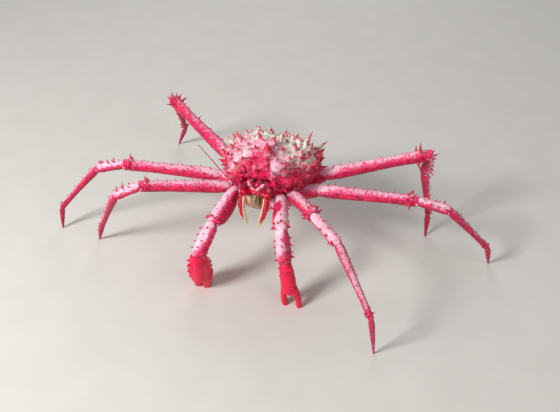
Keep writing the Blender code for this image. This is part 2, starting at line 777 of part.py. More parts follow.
def build_face_tube(name, side, cuts, parts, finish_name):
    """One curved tube of the face, cut where the given planes say."""
    points = bezier(*face_line(name, side), FACE_STEPS)
    radii = eased_radii(FACE_TUBES[name][1], FACE_STEPS)
    made = tube(points, radii, parts, 2)
    set_in_place(made)
    stem, _, piece = name.partition("_")
    finish(made, f"{stem}_{side}" + (f"_{piece}" if piece else ""), finish_name, placed(cuts))


def end_plane(name, side):
    """The point where a tube of the face ends, and its direction there."""
    _, _, lead, end = face_line(name, side)
    return end, (end - lead).normalized()


def build_flagellum(side, parts):
    end, out = end_plane("antenna_peduncle", side)
    way = FLAGELLUM_WAYS[side].normalized()
    start = end - out * 2 * MM
    lead = start + out * FLAGELLUM_LENGTH / 4
    tip = start + way * FLAGELLUM_LENGTH
    points = bezier(start, lead, tip - way * FLAGELLUM_LENGTH / 3, tip, FLAGELLUM_STEPS)
    whip = tube(points, eased_radii(FLAGELLUM_RADII, FLAGELLUM_STEPS), parts, 1)
    set_in_place(whip)
    cut = placed([(end + out * GAP / 2, -out)])
    finish(whip, f"antenna_{side}_flagellum", "mouthparts", cut)


def build_face(side, parts, pieces):
    wall = (FORWARD * (-FACE_WALL + GAP), -FORWARD)
    build_eye(side, parts, pieces)
    build_face_tube("antennule", side, [wall], parts, "mouthparts")
    end, out = end_plane("antenna_peduncle", side)
    build_face_tube("antenna_peduncle", side, [wall, (end - out * GAP / 2, out)], parts, "shell")
    build_flagellum(side, parts)
    elbow, bend = end_plane("maxilliped_base", side)
    near, far = (elbow - bend * GAP / 2, bend), (elbow + bend * GAP / 2, -bend)
    build_face_tube("maxilliped_base", side, [wall, near], parts, "mouthparts")
    build_face_tube("maxilliped_palp", side, [far], parts, "mouthparts")


def main():
    clear_scene()
    parts = bpy.data.collections.new("king_crab")
    pieces = bpy.data.collections.new("pieces")
    bpy.context.scene.collection.children.link(parts)
    bpy.context.scene.collection.children.link(pieces)
    build_carapace(parts, pieces)
    build_thorax(parts)
    build_abdomen(parts)
    for side in ("left", "right"):
        for number in (2, 3, 4):
            build_walking_leg(number, side, parts, pieces)
        build_claw_limb(side, parts, pieces)
        build_face(side, parts, pieces)
    bpy.data.collections.remove(pieces)


main()
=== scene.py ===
"""A life-size king crab model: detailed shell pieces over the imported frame. Metres, +Z up.

The crab faces -Y and its own left side is +X. Run as a script, it models every piece of the
crab, gives it its finish and puts it on a plain studio floor.
"""

import math
import random

import bpy
import numpy as np
from mathutils import Matrix, Vector


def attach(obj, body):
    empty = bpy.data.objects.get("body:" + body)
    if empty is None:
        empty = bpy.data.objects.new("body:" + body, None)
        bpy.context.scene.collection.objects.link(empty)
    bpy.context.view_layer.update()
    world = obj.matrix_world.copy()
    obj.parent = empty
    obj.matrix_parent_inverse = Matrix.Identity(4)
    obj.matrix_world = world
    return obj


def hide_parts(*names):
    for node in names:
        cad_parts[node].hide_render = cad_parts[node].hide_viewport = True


bl_info = {
    "name": "King Crab Model",
    "version": (1, 0, 0),
    "blender": (4, 5, 0),
    "location": "View3D > Sidebar > King Crab",
    "description": "Models a spiny king crab, life size, over its packed frame",
    "category": "Add Mesh",
}

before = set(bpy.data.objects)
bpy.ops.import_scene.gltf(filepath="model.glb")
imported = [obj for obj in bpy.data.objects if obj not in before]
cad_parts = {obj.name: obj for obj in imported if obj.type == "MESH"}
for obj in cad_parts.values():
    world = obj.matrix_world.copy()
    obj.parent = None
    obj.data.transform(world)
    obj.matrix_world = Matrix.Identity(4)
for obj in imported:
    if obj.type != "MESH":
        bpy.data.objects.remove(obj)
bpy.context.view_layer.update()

MM = 0.001
GAP = 0.3 * MM
# Steps of the middle line of a limb piece, a finger or a tube of the face.
LINE_STEPS = 24
UP = Vector((0, 0, 1))
FORWARD = Vector((0, -1, 0))
SIDES = ("left", "right")

# The stance, in the same values as the part's source.
BODY_HEIGHT = 122 * MM
BODY_PITCH = math.radians(10)
STANCE_SHIFT = Vector((-3.18, -5.76, 0)) * MM
BODY = Matrix.Translation(UP * BODY_HEIGHT + STANCE_SHIFT) @ Matrix.Rotation(-BODY_PITCH, 4, "X")
BODY_TURN = BODY.to_3x3()

CARAPACE_HALF_WIDTH = 61 * MM
CARAPACE_HALF_LENGTH = 62 * MM
CARAPACE_TAPER = 0.26
CARAPACE_DOME = 42 * MM
CARAPACE_FLANK = 26 * MM
CARAPACE_FLOOR = -15 * MM
CARAPACE_FULLNESS = 0.8
SOCKET_ROOM = 0.6 * MM
# Swellings of the carapace: middle in plan, height and spread in millimetres.
SWELLINGS = ((0, -24, 6, 13), (0, 20, 3, 10), (29, 14, 5, 16), (-29, 14, 5, 16))
# Rings of its large spines: elevation in degrees, and how many there are on each side.
SPINE_RINGS = ((9, 11), (26, 11), (43, 9), (60, 6), (77, 3))
SPINE_LENGTH = 11
SPINE_RADIUS = 2.6
FACE_ARC = 26
BROW_SPINES = (
    (Vector((0, -53, 19)), Vector((0, -0.74, 0.68)), 14, 4.0),
    (Vector((7, -48, 24)), Vector((0.4, -0.8, 1)), 11, 2.8),
    (Vector((17, -50, 13)), Vector((0.35, -1, 0.4)), 11, 2.8),
    (Vector((29, -43, 8)), Vector((0.8, -1, 0.2)), 9, 2.5),
)
FACE_WALL = -50 * MM
FACE_HALF_WIDTH = 21 * MM
FACE_CEILING = 15.5 * MM

THORAX_MIDDLE = Vector((0, -2, -16)) * MM
THORAX_HALF = Vector((56, 62, 24)) * MM
THORAX_REAR = 44 * MM
THORAX_FLOOR = -37 * MM
ABDOMEN_FLAP_MIDDLE = Vector((0, 10, -37)) * MM
ABDOMEN_FLAP_HALF = Vector((25, 38, 9)) * MM
ABDOMEN_BASE_MIDDLE = Vector((0, 44, -24)) * MM
ABDOMEN_BASE_HALF = Vector((33, 15, 17)) * MM

# Of each pair of limbs, on the left: its socket in the thorax, the joint that ends its coxa, and
# the azimuth that the socket faces.
LIMB_ROOTS = {
    1: (Vector((23, -42, -23)) * MM, Vector((31, -51, -13)) * MM, 55),
    2: (Vector((34, -28, -24)) * MM, Vector((44.5, -40.5, -12)) * MM, 35),
    3: (Vector((41, -4, -25)) * MM, Vector((70, -5.5, -16)) * MM, 3),
    4: (Vector((37, 21, -25)) * MM, Vector((71.5, 21.5, -5)) * MM, -20),
}
SWUNG_ROOTS = {
    (2, "right"): Vector((44.5, -40.5, -14.7)) * MM,
    (3, "right"): Vector((70, -5.5, -18.8)) * MM,
    (4, "right"): Vector((68, 28, -4)) * MM,
}
# Lengths from the merus outwards. The last piece of a limb reaches down to the floor.
PIECE_LENGTHS = {
    1: (55 * MM, 45 * MM),
    2: (115 * MM, 41 * MM, 98 * MM),
    3: (131 * MM, 42.5 * MM, 93 * MM),
    4: (140 * MM, 40 * MM, 84 * MM),
}
# Azimuth and elevation in degrees of each piece, from the merus outwards.
POSES = {
    (1, "left"): ((73, -5.5), (53, -74), (24, -79.5)),
    (2, "left"): ((62, 26.5), (23, -32.5), (29, -54.5), (-34, -81.5)),
    (3, "left"): ((-2.5, 3), (-2.5, -11), (-20, -47.5), (-55, -69)),
    (4, "left"): ((-12, 16), (-94, -68), (-43, -77), (79, -72)),
    (1, "right"): ((75, -18.5), (70.5, -45), (-75, -76.5)),
    (2, "right"): ((28.5, 9.5), (8.5, -28.5), (-24.5, -58.5), (-28, -65.5)),
    (3, "right"): ((15, 7), (7, -16), (16.5, -48), (12.5, -79)),
    (4, "right"): ((-34, 11), (-67.5, -34), (-78.5, -59.5), (-31.5, -60.5)),
}
# Half thickness along each kind of piece, as pairs of the share of its length and millimetres.
PROFILES = {
    "coxa": ((0, 10.8), (0.35, 10.6), (0.75, 9.7), (1, 8.6)),
    "merus": ((0, 7.6), (0.05, 9.2), (0.2, 8.9), (0.45, 8.0), (0.7, 7.2), (0.86, 7.5), (0.95, 8.6), (1, 7.4)),
    "carpus": ((0, 5.8), (0.15, 6.6), (0.5, 6.5), (0.85, 7.1), (1, 6.0)),
    "propodus": ((0, 5.2), (0.07, 6.2), (0.3, 5.2), (0.6, 4.2), (0.88, 3.9), (0.96, 4.5), (1, 3.8)),
    "dactylus": ((0, 3.2), (0.15, 3.9), (0.5, 3.1), (0.8, 2.0), (1, 1.1)),
    "claw_coxa": ((0, 8.8), (0.6, 8.2), (1, 7.4)),
    "claw_merus": ((0, 7.0), (0.2, 8.4), (0.6, 8.6), (0.9, 9.4), (1, 7.6)),
    "claw_carpus": ((0, 7.6), (0.2, 9.0), (0.6, 9.5), (0.9, 9.7), (1, 8.2)),
}
LEG_KINDS = ("coxa", "merus", "carpus", "propodus", "dactylus")
CLAW_KINDS = ("claw_coxa", "claw_merus", "claw_carpus")
STOUTNESS = {1: 1.0, 2: 0.98, 3: 1.0, 4: 1.04}
# Rings of the neck in a piece's joint and of the lip at its far end: distance from that end in
# millimetres and share of the radius there.
NECK_RINGS = ((-2.0, 0.7), (-0.5, 0.78), (0.4, 0.9), (1.2, 0.99))
LIP_RINGS = ((2.6, 1.03), (1.2, 1.06), (0.4, 0.98), (0.16, 0.86), (0.5, 0.74), (1.6, 0.68))
RING_INSET = 3 * MM
# Rows of spines: angle from the upper side and shift, how many, span, length and base radius.
SPINE_ROWS = {
    "merus": (((0, 0), (58, 0.5), (-55, 0.3)), 4, (0.1, 0.8), 4.8, 1.35),
    "carpus": (((-15, 0), (50, 0.5)), 3, (0.25, 0.85), 7.2, 1.6),
    "propodus": (((20, 0), (-50, 0.5)), 4, (0.1, 0.85), 3.6, 1.1),
    "dactylus": (((0, 0),), 2, (0.2, 0.45), 2.4, 0.8),
    "claw_merus": (((10, 0), (75, 0.4), (-70, 0.5)), 3, (0.25, 0.8), 5.2, 1.5),
    "claw_carpus": (((0, 0), (70, 0.5), (-70, 0.3)), 4, (0.15, 0.85), 5.6, 1.6),
}
CROWNS = {"merus": (9.5, 1.9), "claw_merus": (8.0, 1.9), "propodus": (4.2, 1.3)}
CROWN_ANGLES = (-70, -20, 28, 78)
CROWN_GROWTH = {1: 1.0, 2: 0.8, 3: 0.85, 4: 1.3}
CROWN_PLACE = 0.94
ROW_LEAN = 0.25
CROWN_LEAN = 0.12
SPINE_FOOT = 0.93
JOINT_BLEND = 13 * MM
KEEL = 1.0

# Radius at a claw's base and across its palm, the palm's share of its length, how far apart its
# tips stand, and half the thickness of its fingers.
CLAWS = {
    "left": (7.6 * MM, 9.9 * MM, 0.62, 19 * MM, 4.4 * MM),
    "right": (9.4 * MM, 13.2 * MM, 0.62, 14.5 * MM, 5.8 * MM),
}
CLAW_DEPTH = 1.18
CLAW_NECK_RINGS = ((-2.0, 0.72), (-0.5, 0.8), (0.4, 0.92), (1.2, 1.0))
PALM_RINGS = (0.1, 0.2, 0.32, 0.45, 0.6, 0.75, 0.88, 0.97)
PALM_SPINE_SHARES = (0.2, 0.5, 0.8)
PALM_SPINE_ANGLES = (-80, -40, 0, 40, 80)
PALM_SPINE = (4.4, 1.5)
FINGER_SPREAD = 0.5
FINGER_ROOT = 0.6
FINGER_TIP = 0.7

EYE_PLACE = Vector((5.7, -58, 11)) * MM
EYE_RADIUS = 3.4 * MM
EYESTALK_RADIUS = 2.5 * MM
# Rings of an eye's stalk, as shares of its length and radius, and the angles of its spines.
EYESTALK_RINGS = ((0.0, 1.25), (0.18, 1.2), (0.3, 0.95), (0.5, 0.92), (0.65, 1.1), (0.8, 1.22), (1, 1.1))
EYESTALK_SPINES = (-70, -25, 20, 65)
# The pale rim under the left eye, a painted highlight in pinkish white: points in millimetres, and shares of its
# length with half widths in millimetres.
RIM_POINTS = ((0.8, -63, 0.5), (5, -65, 3), (11, -61, 10))
RIM_RINGS = ((0, 0.9), (0.08, 1.7), (0.2, 2.1), (0.36, 1.6), (0.55, 2.3), (0.72, 1.7), (0.88, 2.0), (1, 0.8))
# Half width, depth and height of the mound in the face, in millimetres.
MOUND_HALF = Vector((20, 7.5, 14))
# Curved tubes of the face, left side: points and half thickness in millimetres.
FACE_TUBES = {
    "antennule": (((4.5, -49, 2), (5, -58, 1), (6.5, -66, 4), (9, -72, 10)), (1.7, 1.7, 1.1, 0.6)),
    "antenna_peduncle": (
        ((14, -49, 2), (15.5, -57, 1.5), (18, -63, 2.5), (20.5, -68, 5)),
        (4.2, 4.0, 3.2, 2.4),
    ),
    "maxilliped_base": (
        ((10, -49, -11), (13, -56, -8), (16, -61, -5), (17, -66, -7)),
        (3.6, 3.4, 3.2, 2.8),
    ),
    "maxilliped_palp": (
        ((17, -66, -7), (18, -70, -18), (14.5, -73, -32), (10, -70, -43)),
        (2.7, 2.7, 2.1, 0.9),
    ),
}
# Spines of a long feeler's foot: place on its line, direction on the left side, length and
# radius in millimetres, and how far each looks up.
PEDUNCLE_SPINES = (
    (9, (1, -1.2, 0.3), 9, 1.6, 0.3),
    (15, (0.6, -1, 0.5), 5, 1.2, 0.3),
    (7, (0.8, -0.4, 0.8), 5, 1.2, 0.6),
)
FLAGELLUM_LENGTH = 75 * MM
FLAGELLUM_RADII = (0.8, 0.65, 0.5)
FLAGELLUM_WAYS = {
    "left": Vector((0.22, -0.87, 0.44)),
    "right": Vector((-0.70, -0.13, 0.70)),
}

# How much more or less dust lies on each kind of piece than on a merus.
DUSTING = {
    "coxa": 0.15, "merus": 0.0, "carpus": 0.4, "propodus": 0.0, "dactylus": -0.5,
    "claw_coxa": 0.2, "claw_merus": 0.5, "claw_carpus": 0.75,
}
# How the dust changes along a piece: by how much, from which share of its length on, and over
# what share of it. It fades backwards where that share is negative.
MERUS_FADES = ((0.6, 0.2, -0.2), (-0.3, 0.88, 0.06))
DUST_FADES = {
    "merus": MERUS_FADES,
    "carpus": ((-0.5, 0.84, 0.1),),
    "propodus": ((-0.4, 0.8, 0.1),),
    "claw_merus": MERUS_FADES,
    "claw_carpus": ((-0.9, 0.5, 0.5),),
}
# How much more or less dust lies on single legs, and below the knees of both fourth legs, where the added dust dulls
# them as a painted shade.
LEG_DUST = {(2, "left"): 0.15, (4, "right"): -0.25}
KNEE_SHADE_DUST = 0.35
# What only this scene adds. How many small spines grow on each kind of piece, between which
# angles from its upper side, and their least and greatest length in millimetres.
SPINULES = {
    "coxa": (16, 80, 1.0, 2.0),
    "merus": (86, 125, 0.8, 3.8),
    "carpus": (44, 115, 1.0, 4.8),
    "propodus": (46, 120, 0.6, 2.2),
    "dactylus": (14, 120, 0.6, 1.3),
    "claw_coxa": (10, 80, 1.0, 2.0),
    "claw_merus": (36, 130, 0.8, 3.0),
    "claw_carpus": (36, 130, 0.8, 3.0),
}
# The large and middle cones of the back together, its small spines, and the thorns of the brow.
CARAPACE_CONES = 164
CARAPACE_SPINULES = 560
BROW_THORNS = 34
# How much shorter and broader the large cones are than the solid's.
CONE_SHORTNESS = 0.8
CONE_BREADTH = 1.25
# How high and broad the shell rises to a cone, as shares of the cone's length and radius.
CONE_FOOT = 0.36
CONE_FOOT_BREADTH = 1.6
# Painted shade lies in the hollows of the shell, where the cones, taken this much broader than they are, lift it by
# less.
PAINTED_SHADE_BREADTH = 2.2
PAINTED_SHADE_LIFT = 1.5 * MM
# How many millimetres lower the shell's hind part is than in the solid, and how much shorter
# the cones on it are.
HIND_SINK = 4.5
HIND_SHORTNESS = 0.75
# Round patches of crust and of dust on it: middle in plan in millimetres, spread and amount.
CRUST_PATCHES = ((34, -22, 260, 1.0), (-30, -33, 160, 0.6))
DUST_PATCHES = ((-24, -22, 300, 0.3), (-38, -34, 150, 0.6))
# The tallest cones of the back: root, direction, length and base radius in millimetres, and
# how dusted each is.
TALL_CONES = (
    (Vector((5.2, -38.1, 37.5)), Vector((0.04, -0.16, 0.99)), 14, 6.0, -0.25),
    (Vector((18.8, -45.5, 25.6)), Vector((0.94, 0.1, 0.3)), 13, 6.4, 1.6),
    (Vector((42.6, 0, 34.2)), Vector((0.27, 0.43, 0.86)), 20, 3.6, 0.0),
    (Vector((53, 24.6, 23.2)), Vector((0.64, 0.41, 0.65)), 15, 3.2, 0.0),
    (Vector((-41.2, -4.5, 33.8)), Vector((-0.4, 0.27, 0.88)), 12, 3.2, 0.0),
    (Vector((-16.4, -52.9, 17.9)), Vector((-0.46, 0.02, 0.89)), 10, 3.4, -0.4),
    (Vector((39.2, -38.5, 7.4)), Vector((0.72, 0.28, 0.63)), 9, 3.0, -0.4),
)
# More spines of each crown, between those of the source, as angles and shares of their length.
CROWN_FILLERS = ((-46, 0.6), (6, 0.85), (54, 0.5), (110, 0.7))
# Long spines that fan out over the knee of a fourth leg: angles and lengths, then their place
# along the carpus, base radius and lean.
KNEE_FAN = ((-35, 9), (5, 13), (42, 11))
KNEE_FAN_PLACE, KNEE_FAN_RADIUS, KNEE_FAN_LEAN = 0.06, 1.8, -0.9
# The grooves between the plates of the thorax, and the seams of the abdomen.
PLATE_PITCH = 19
PLATE_GROOVE = 1.6 * MM
SEAM_GROOVE = 1.1 * MM
# How much fuller the fingers are than their solids.
FINGER_FULLNESS = {"left": 1.08, "right": 1.26}
# How much closer together the tips stand than in the solids.
FINGER_CLOSING = {"left": 1.0, "right": 0.74}
PALM_SPINULES = 90
PALM_VOXEL = 0.75 * MM
FINGER_GRANULES = 46
RING_SIDES = 14
# Rings are made this much larger, because they shrink when their sides are smoothed round.
RING_GROWTH = 1.034
# How much fuller the tubes of the face are than their solids, and the grains on each mouth
# limb and on each pale rim.
MOUTH_LIMB_FULLNESS, FEELER_FULLNESS = 1.55, 1.05
MOUTH_GRAINS, RIM_GRAINS = 60, 14
FLAGELLUM_RINGS = 72
# Bristles of each mouth limb, and their least and greatest length.
BRISTLES = 330
BRISTLE_LENGTHS = (7 * MM, 14 * MM)
BRISTLE_RADIUS = 0.26 * MM
# The bumps of the face under the brow, and their least and greatest size.
FACE_BUMPS = 80
FACE_BUMP_SIZES = (1.0 * MM, 2.8 * MM)
# On a claw limb the dust, and a painted light with it, lies on what looks up and to the crab's right, where the key
# light falls; the side turned from it gets painted shade.
CLAW_DUST_AND_LIGHT_WAY = Vector((-0.75, -0.2, 0.6))

CAMERA_PLACE = Vector((212.32, -695.66, 648.2)) * MM
CAMERA_AZIMUTH = math.radians(16.232)
CAMERA_ELEVATION = math.radians(39.221)
CAMERA_LENS = 42.43
# Studio lights: name, place and size in metres, and power as a share of the key light's.
STUDIO_LIGHTS = (
    ("key", (-0.85, -1.15, 1.15), 0.45, 1),
    ("fill", (1.4, -0.9, 1.3), 1.2, 0.22),
    ("rim", (-0.4, 1.5, 1.3), 1.0, 0.3),
)
LIGHT_AIM = Vector((0, 0, 0.08))
WORLD_STRENGTH = 0.33
FLOOR_SIDE = 8


def linear(hex_colour):
    """An sRGB hex colour as linear red, green and blue."""
    channels = [int(hex_colour[i : i + 2], 16) / 255 for i in (1, 3, 5)]
    return [c / 12.92 if c <= 0.04045 else ((c + 0.055) / 1.055) ** 2.4 for c in channels]


def colour_choice(name, description, hex_colour):
    return bpy.props.FloatVectorProperty(
        name=name, description=description, subtype="COLOR", size=3, min=0, max=1, default=linear(hex_colour)
    )


class KingCrabLooks(bpy.types.PropertyGroup):
    """The sizes and colours of the crab that a user would change."""

    spine_scale: bpy.props.FloatProperty(
        name="Spine Scale", description="Length of every spine against its usual length",
        default=1.0, min=0.5, max=1.15, subtype="FACTOR",
    )
    spinule_share: bpy.props.FloatProperty(
        name="Small Spines", description="How many of the small spines grow",
        default=1.0, min=0, max=1.5, subtype="FACTOR",
    )
    relief: bpy.props.FloatProperty(
        name="Relief", description="Depth of the shell's fine unevenness",
        default=0.45 * MM, min=0, max=1 * MM, subtype="DISTANCE", unit="LENGTH", precision=5,
    )
    dust: bpy.props.FloatProperty(
        name="Dusting", description="How pale the upper faces are", default=0.86, min=0, max=1, subtype="FACTOR"
    )
    crust: bpy.props.FloatProperty(
        name="Crust", description="How much pale crust the carapace carries",
        default=0.75, min=0, max=1, subtype="FACTOR",
    )
    shell_colour: colour_choice("Shell", "Crimson of the shell", "#E82056")
    # The deeper crimson serves both the shell's own blotches and the painted shade of flanks and lower sides.
    deep_and_shade_colour: colour_choice("Deep Shell", "Darker crimson of flanks and lower sides", "#A00C40")
    dust_colour: colour_choice("Dust", "Pale lilac of the dusted faces", "#F0E2E6")
    crust_colour: colour_choice("Crust Colour", "Greenish white of the crust", "#DFECD8")
    under_colour: colour_choice("Underside", "Pale red of the belly", "#C9655C")
    bristle_colour: colour_choice("Bristles", "Ivory of the mouth's bristles", "#EBDFB0")
    floor_colour: colour_choice("Floor", "Pale studio floor", "#CFCCC6")
    key_light: bpy.props.FloatProperty(
        name="Key Light", description="Power of the main studio light",
        default=31, min=0, max=200, subtype="POWER", unit="POWER",
    )


def looks():
    return bpy.context.scene.king_crab_looks


# Modelling


def deselect_all():
    if bpy.context.object and bpy.context.object.mode != "OBJECT":
        bpy.ops.object.mode_set(mode="OBJECT")
    bpy.ops.object.select_all(action="DESELECT")


def choose(piece):
    deselect_all()
    piece.select_set(True)
    bpy.context.view_layer.objects.active = piece


def apply_modifier(piece, kind, **settings):
    choose(piece)
    modifier = piece.modifiers.new(kind.title(), kind)
    for name, value in settings.items():
        setattr(modifier, name, value)
    bpy.ops.object.modifier_apply(modifier=modifier.name)


def subdivide(piece, levels=2):
    apply_modifier(piece, "SUBSURF", levels=levels, render_levels=levels)


def rename(piece, name):
    piece.name = piece.data.name = name


def edit_all():
    bpy.ops.object.mode_set(mode="EDIT")
    bpy.ops.mesh.select_all(action="SELECT")


def ball(segments, rings, radius=1):
    deselect_all()
    bpy.ops.mesh.primitive_uv_sphere_add(segments=segments, ring_count=rings, radius=radius)
    return bpy.context.object


def ringed_form(name, rings, sides=RING_SIDES, pointed=False):
    """A closed form extruded ring by ring up the Z axis.

    A ring is its height and radius, or its height, width and depth.
    """
    rings = [(*ring, ring[1])[:3] for ring in rings]
    deselect_all()
    height, wide, deep = rings[0]
    bpy.ops.mesh.primitive_circle_add(vertices=sides, radius=1, fill_type="NGON", location=(0, 0, height))
    piece = bpy.context.object
    rename(piece, name)
    bpy.ops.object.transform_apply(location=True, rotation=True, scale=True)
    edit_all()
    bpy.ops.transform.resize(value=(wide, deep, 1), center_override=(0, 0, height))
    for (low, wide, deep), (high, wider, deeper) in zip(rings, rings[1:]):
        bpy.ops.mesh.extrude_region_move(TRANSFORM_OT_translate={"value": (0, 0, high - low)})
        bpy.ops.transform.resize(value=(wider / wide, deeper / deep, 1), center_override=(0, 0, high))
    if pointed:
        bpy.ops.mesh.merge(type="CENTER")
    bpy.ops.mesh.select_all(action="SELECT")
    bpy.ops.mesh.normals_make_consistent(inside=False)
    bpy.ops.object.mode_set(mode="OBJECT")
    return piece


def coordinates(piece):
    flat = np.empty(len(piece.data.vertices) * 3)
    piece.data.vertices.foreach_get("co", flat)
    return flat.reshape(-1, 3)


def normals(piece):
    flat = np.empty(len(piece.data.vertices) * 3)
    piece.data.vertices.foreach_get("normal", flat)
    return flat.reshape(-1, 3)


def set_coordinates(piece, places):
    piece.data.vertices.foreach_set("co", np.ascontiguousarray(places, dtype=float).ravel())
    piece.data.update()


def mark(piece, name, values):
    """Stores one number at each vertex, which the finishes read."""
    layer = piece.data.attributes.get(name) or piece.data.attributes.new(name, "FLOAT", "POINT")
    values = np.broadcast_to(np.asarray(values, dtype=float), len(piece.data.vertices))
    layer.data.foreach_set("value", np.ascontiguousarray(values))


def cut_flat(piece, point, normal):
    """Cuts off what lies beyond the plane and closes the cut."""
    choose(piece)
    edit_all()
    bpy.ops.mesh.bisect(plane_co=point, plane_no=normal, use_fill=True, clear_outer=True, threshold=1e-7)
    bpy.ops.object.mode_set(mode="OBJECT")


def join_to(piece, others):
    """Joins the others into the piece."""
    choose(piece)
    for other in others:
        other.select_set(True)
    bpy.ops.object.join()


def roughen(piece, size, strength):
    """Uneven relief of the given grain size, in the shape itself."""
    texture = bpy.data.textures.new("relief", "CLOUDS")
    texture.noise_scale = size
    texture.noise_depth = 2
    apply_modifier(piece, "DISPLACE", texture=texture, strength=strength, mid_level=0.5, texture_coords="GLOBAL")
    bpy.data.textures.remove(texture)


def finish_piece(piece, nodes, material):
    """Gives the piece its finish, parents it to the root body and hides the frame's parts that it stands for."""
    piece.data.materials.clear()
    piece.data.materials.append(material)
    piece.data.polygons.foreach_set("material_index", np.zeros(len(piece.data.polygons), dtype=np.int32))
    piece.data.shade_smooth()
    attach(piece, "root")
    if nodes:
        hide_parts(*nodes)


def bezier(start, lead, trail, end, steps):
    points = []
    for step in range(steps + 1):
        t = step / steps
        u = 1 - t
        points.append(start * u**3 + lead * 3 * t * u**2 + trail * 3 * t**2 * u + end * t**3)
    return points


def unit(rows):
    return rows / np.maximum(np.linalg.norm(rows, axis=1), 1e-12)[:, None]


def line_length(points):
    return sum((b - a).length for a, b in zip(points, points[1:]))


def frames(points, upper, along):
    """Middle, direction, upper side and side across at each distance along the line."""
    line = np.array([point[:] for point in points])
    step = np.linalg.norm(np.diff(line, axis=0), axis=1)
    reach = np.concatenate(([0], np.cumsum(step)))
    ways = unit(np.gradient(line, reach, axis=0))
    held = np.clip(along, 0, reach[-1])
    middle = np.stack([np.interp(held, reach, line[:, i]) for i in range(3)], 1)
    way = unit(np.stack([np.interp(held, reach, ways[:, i]) for i in range(3)], 1))
    middle += way * (along - held)[:, None]
    up = unit(np.array(upper[:])[None, :] - way * (way @ np.array(upper[:]))[:, None])
    return middle, way, up, np.cross(way, up)


def lay_along(piece, points, upper, start_plane=None, end_plane=None):
    """Bends an upright form along the line; its ends lean over to lie in the given planes."""
    places = coordinates(piece)
    x, y, along = places.T
    around = np.hypot(x, y)
    mark(piece, "dorsal", np.where(around > 0.2 * around.max(), x / np.maximum(around, 1e-9), 0))
    total = line_length(points)
    middle, way, up, across = frames(points, upper, along)
    out = up * x[:, None] + across * y[:, None]
    fade = 2.3 * around.max()
    for plane, distance in ((start_plane, along), (end_plane, total - along)):
        if plane is not None:
            normal = np.array(plane[:])
            lean = -(out @ normal) / (way @ normal)
            share = np.clip(1 - distance / fade, 0, 1)
            out = out + way * (lean * share * share * (3 - 2 * share))[:, None]
    set_coordinates(piece, middle + out)


def smooth_value(pairs, share):
    for (a, low), (b, high) in zip(pairs, pairs[1:]):
        if share <= b:
            t = max(0.0, (share - a) / (b - a))
            return low + (high - low) * t * t * (3 - 2 * t)
    return pairs[-1][1]


# Spines


class Spines:
    """Gathers spines, and plants them all as copies of one modelled spine in a joined mesh."""

    def __init__(self):
        self.rows = []

    def add(self, base, pointing, length, radius, dorsal=1.0, bend=0.0, bare=1.0, dusty=0.0, crusty=0.0):
        """One spine; bare is how clean its tip is."""
        pointing = Vector(pointing).normalized()
        self.rows.append((*base, *pointing, length, radius, dorsal, bend, bare, dusty, crusty))

    def planted(self, name, template):
        rows = np.array(self.rows)
        base, way = rows[:, 0:3], rows[:, 3:6]
        length, radius, _, bend, bare = (rows[:, i, None] for i in range(6, 11))
        helper = np.where(np.abs(way[:, 2:3]) < 0.9, np.array([[0, 0, 1.0]]), np.array([[1.0, 0, 0]]))
        side = unit(np.cross(way, helper))
        front = np.cross(way, side)
        shape = coordinates(template)
        x, y, z = shape.T
        height = np.where(z[None, :] < 0, z[None, :] * radius * 5, z[None, :] * length)
        sway = x[None, :] * radius + bend * length * z[None, :] ** 2
        places = (
            base[:, None, :]
            + way[:, None, :] * height[:, :, None]
            + side[:, None, :] * sway[:, :, None]
            + front[:, None, :] * (y[None, :] * radius)[:, :, None]
        )
        count = len(shape)
        faces = [tuple(polygon.vertices) for polygon in template.data.polygons]
        faces = [tuple(v + i * count for v in face) for i in range(len(rows)) for face in faces]
        mesh = bpy.data.meshes.new(name)
        mesh.from_pydata(places.reshape(-1, 3), [], faces)
        made = bpy.data.objects.new(name, mesh)
        bpy.context.scene.collection.objects.link(made)
        mark(made, "tip", (np.clip(z, 0.02, 1)[None, :] * bare).ravel())
        for column, mark_name in ((8, "dorsal"), (11, "dusty"), (12, "crusty")):
            mark(made, mark_name, np.repeat(rows[:, column], count))
        return made


def spine_template(sides):
    """One slender thorn with a flared foot; heights are shares of its length."""
    rings = ((-0.22, 1.3), (0.02, 1.12), (0.2, 0.74), (0.5, 0.46), (0.85, 0.18), (1, 0.1))
    return ringed_form("thorn", rings, sides, pointed=True)


def grow(piece, spines, sides=6):
    """Plants the gathered spines on the piece."""
    if not spines.rows:
        return
    template = spine_template(sides)
    grown = spines.planted("spines", template)
    bpy.data.objects.remove(template, do_unlink=True)
    join_to(piece, [grown])


def knuckle(place, half, pointing):
    """A small smooth knob of bare pale shell beside a joint."""
    made = ball(14, 9)
    turn = pointing.to_track_quat("Z", "Y").to_matrix().to_4x4()
    made.data.transform(Matrix.Translation(place) @ turn @ Matrix.Diagonal((*half, 1)))
    mark(made, "pale", 1.0)
    mark(made, "dorsal", 0.6)
    return made


# The stance


def mirrored(point, side):
    return Vector((point[0] if side == "left" else -point[0], point[1], point[2]))


def direction(azimuth, elevation, side):
    across = math.cos(math.radians(azimuth)) * math.cos(math.radians(elevation))
    ahead = math.sin(math.radians(azimuth)) * math.cos(math.radians(elevation))
    return mirrored((across, -ahead, math.sin(math.radians(elevation))), side)


def thorax_face(number, side):
    socket, _, azimuth = LIMB_ROOTS[number]
    return mirrored(socket, side), direction(azimuth, 0, side)


def placed(cuts):
    """Cuts through the level body, as they lie on the crab as it stands."""
    return [(BODY @ point, BODY_TURN @ normal) for point, normal in cuts]


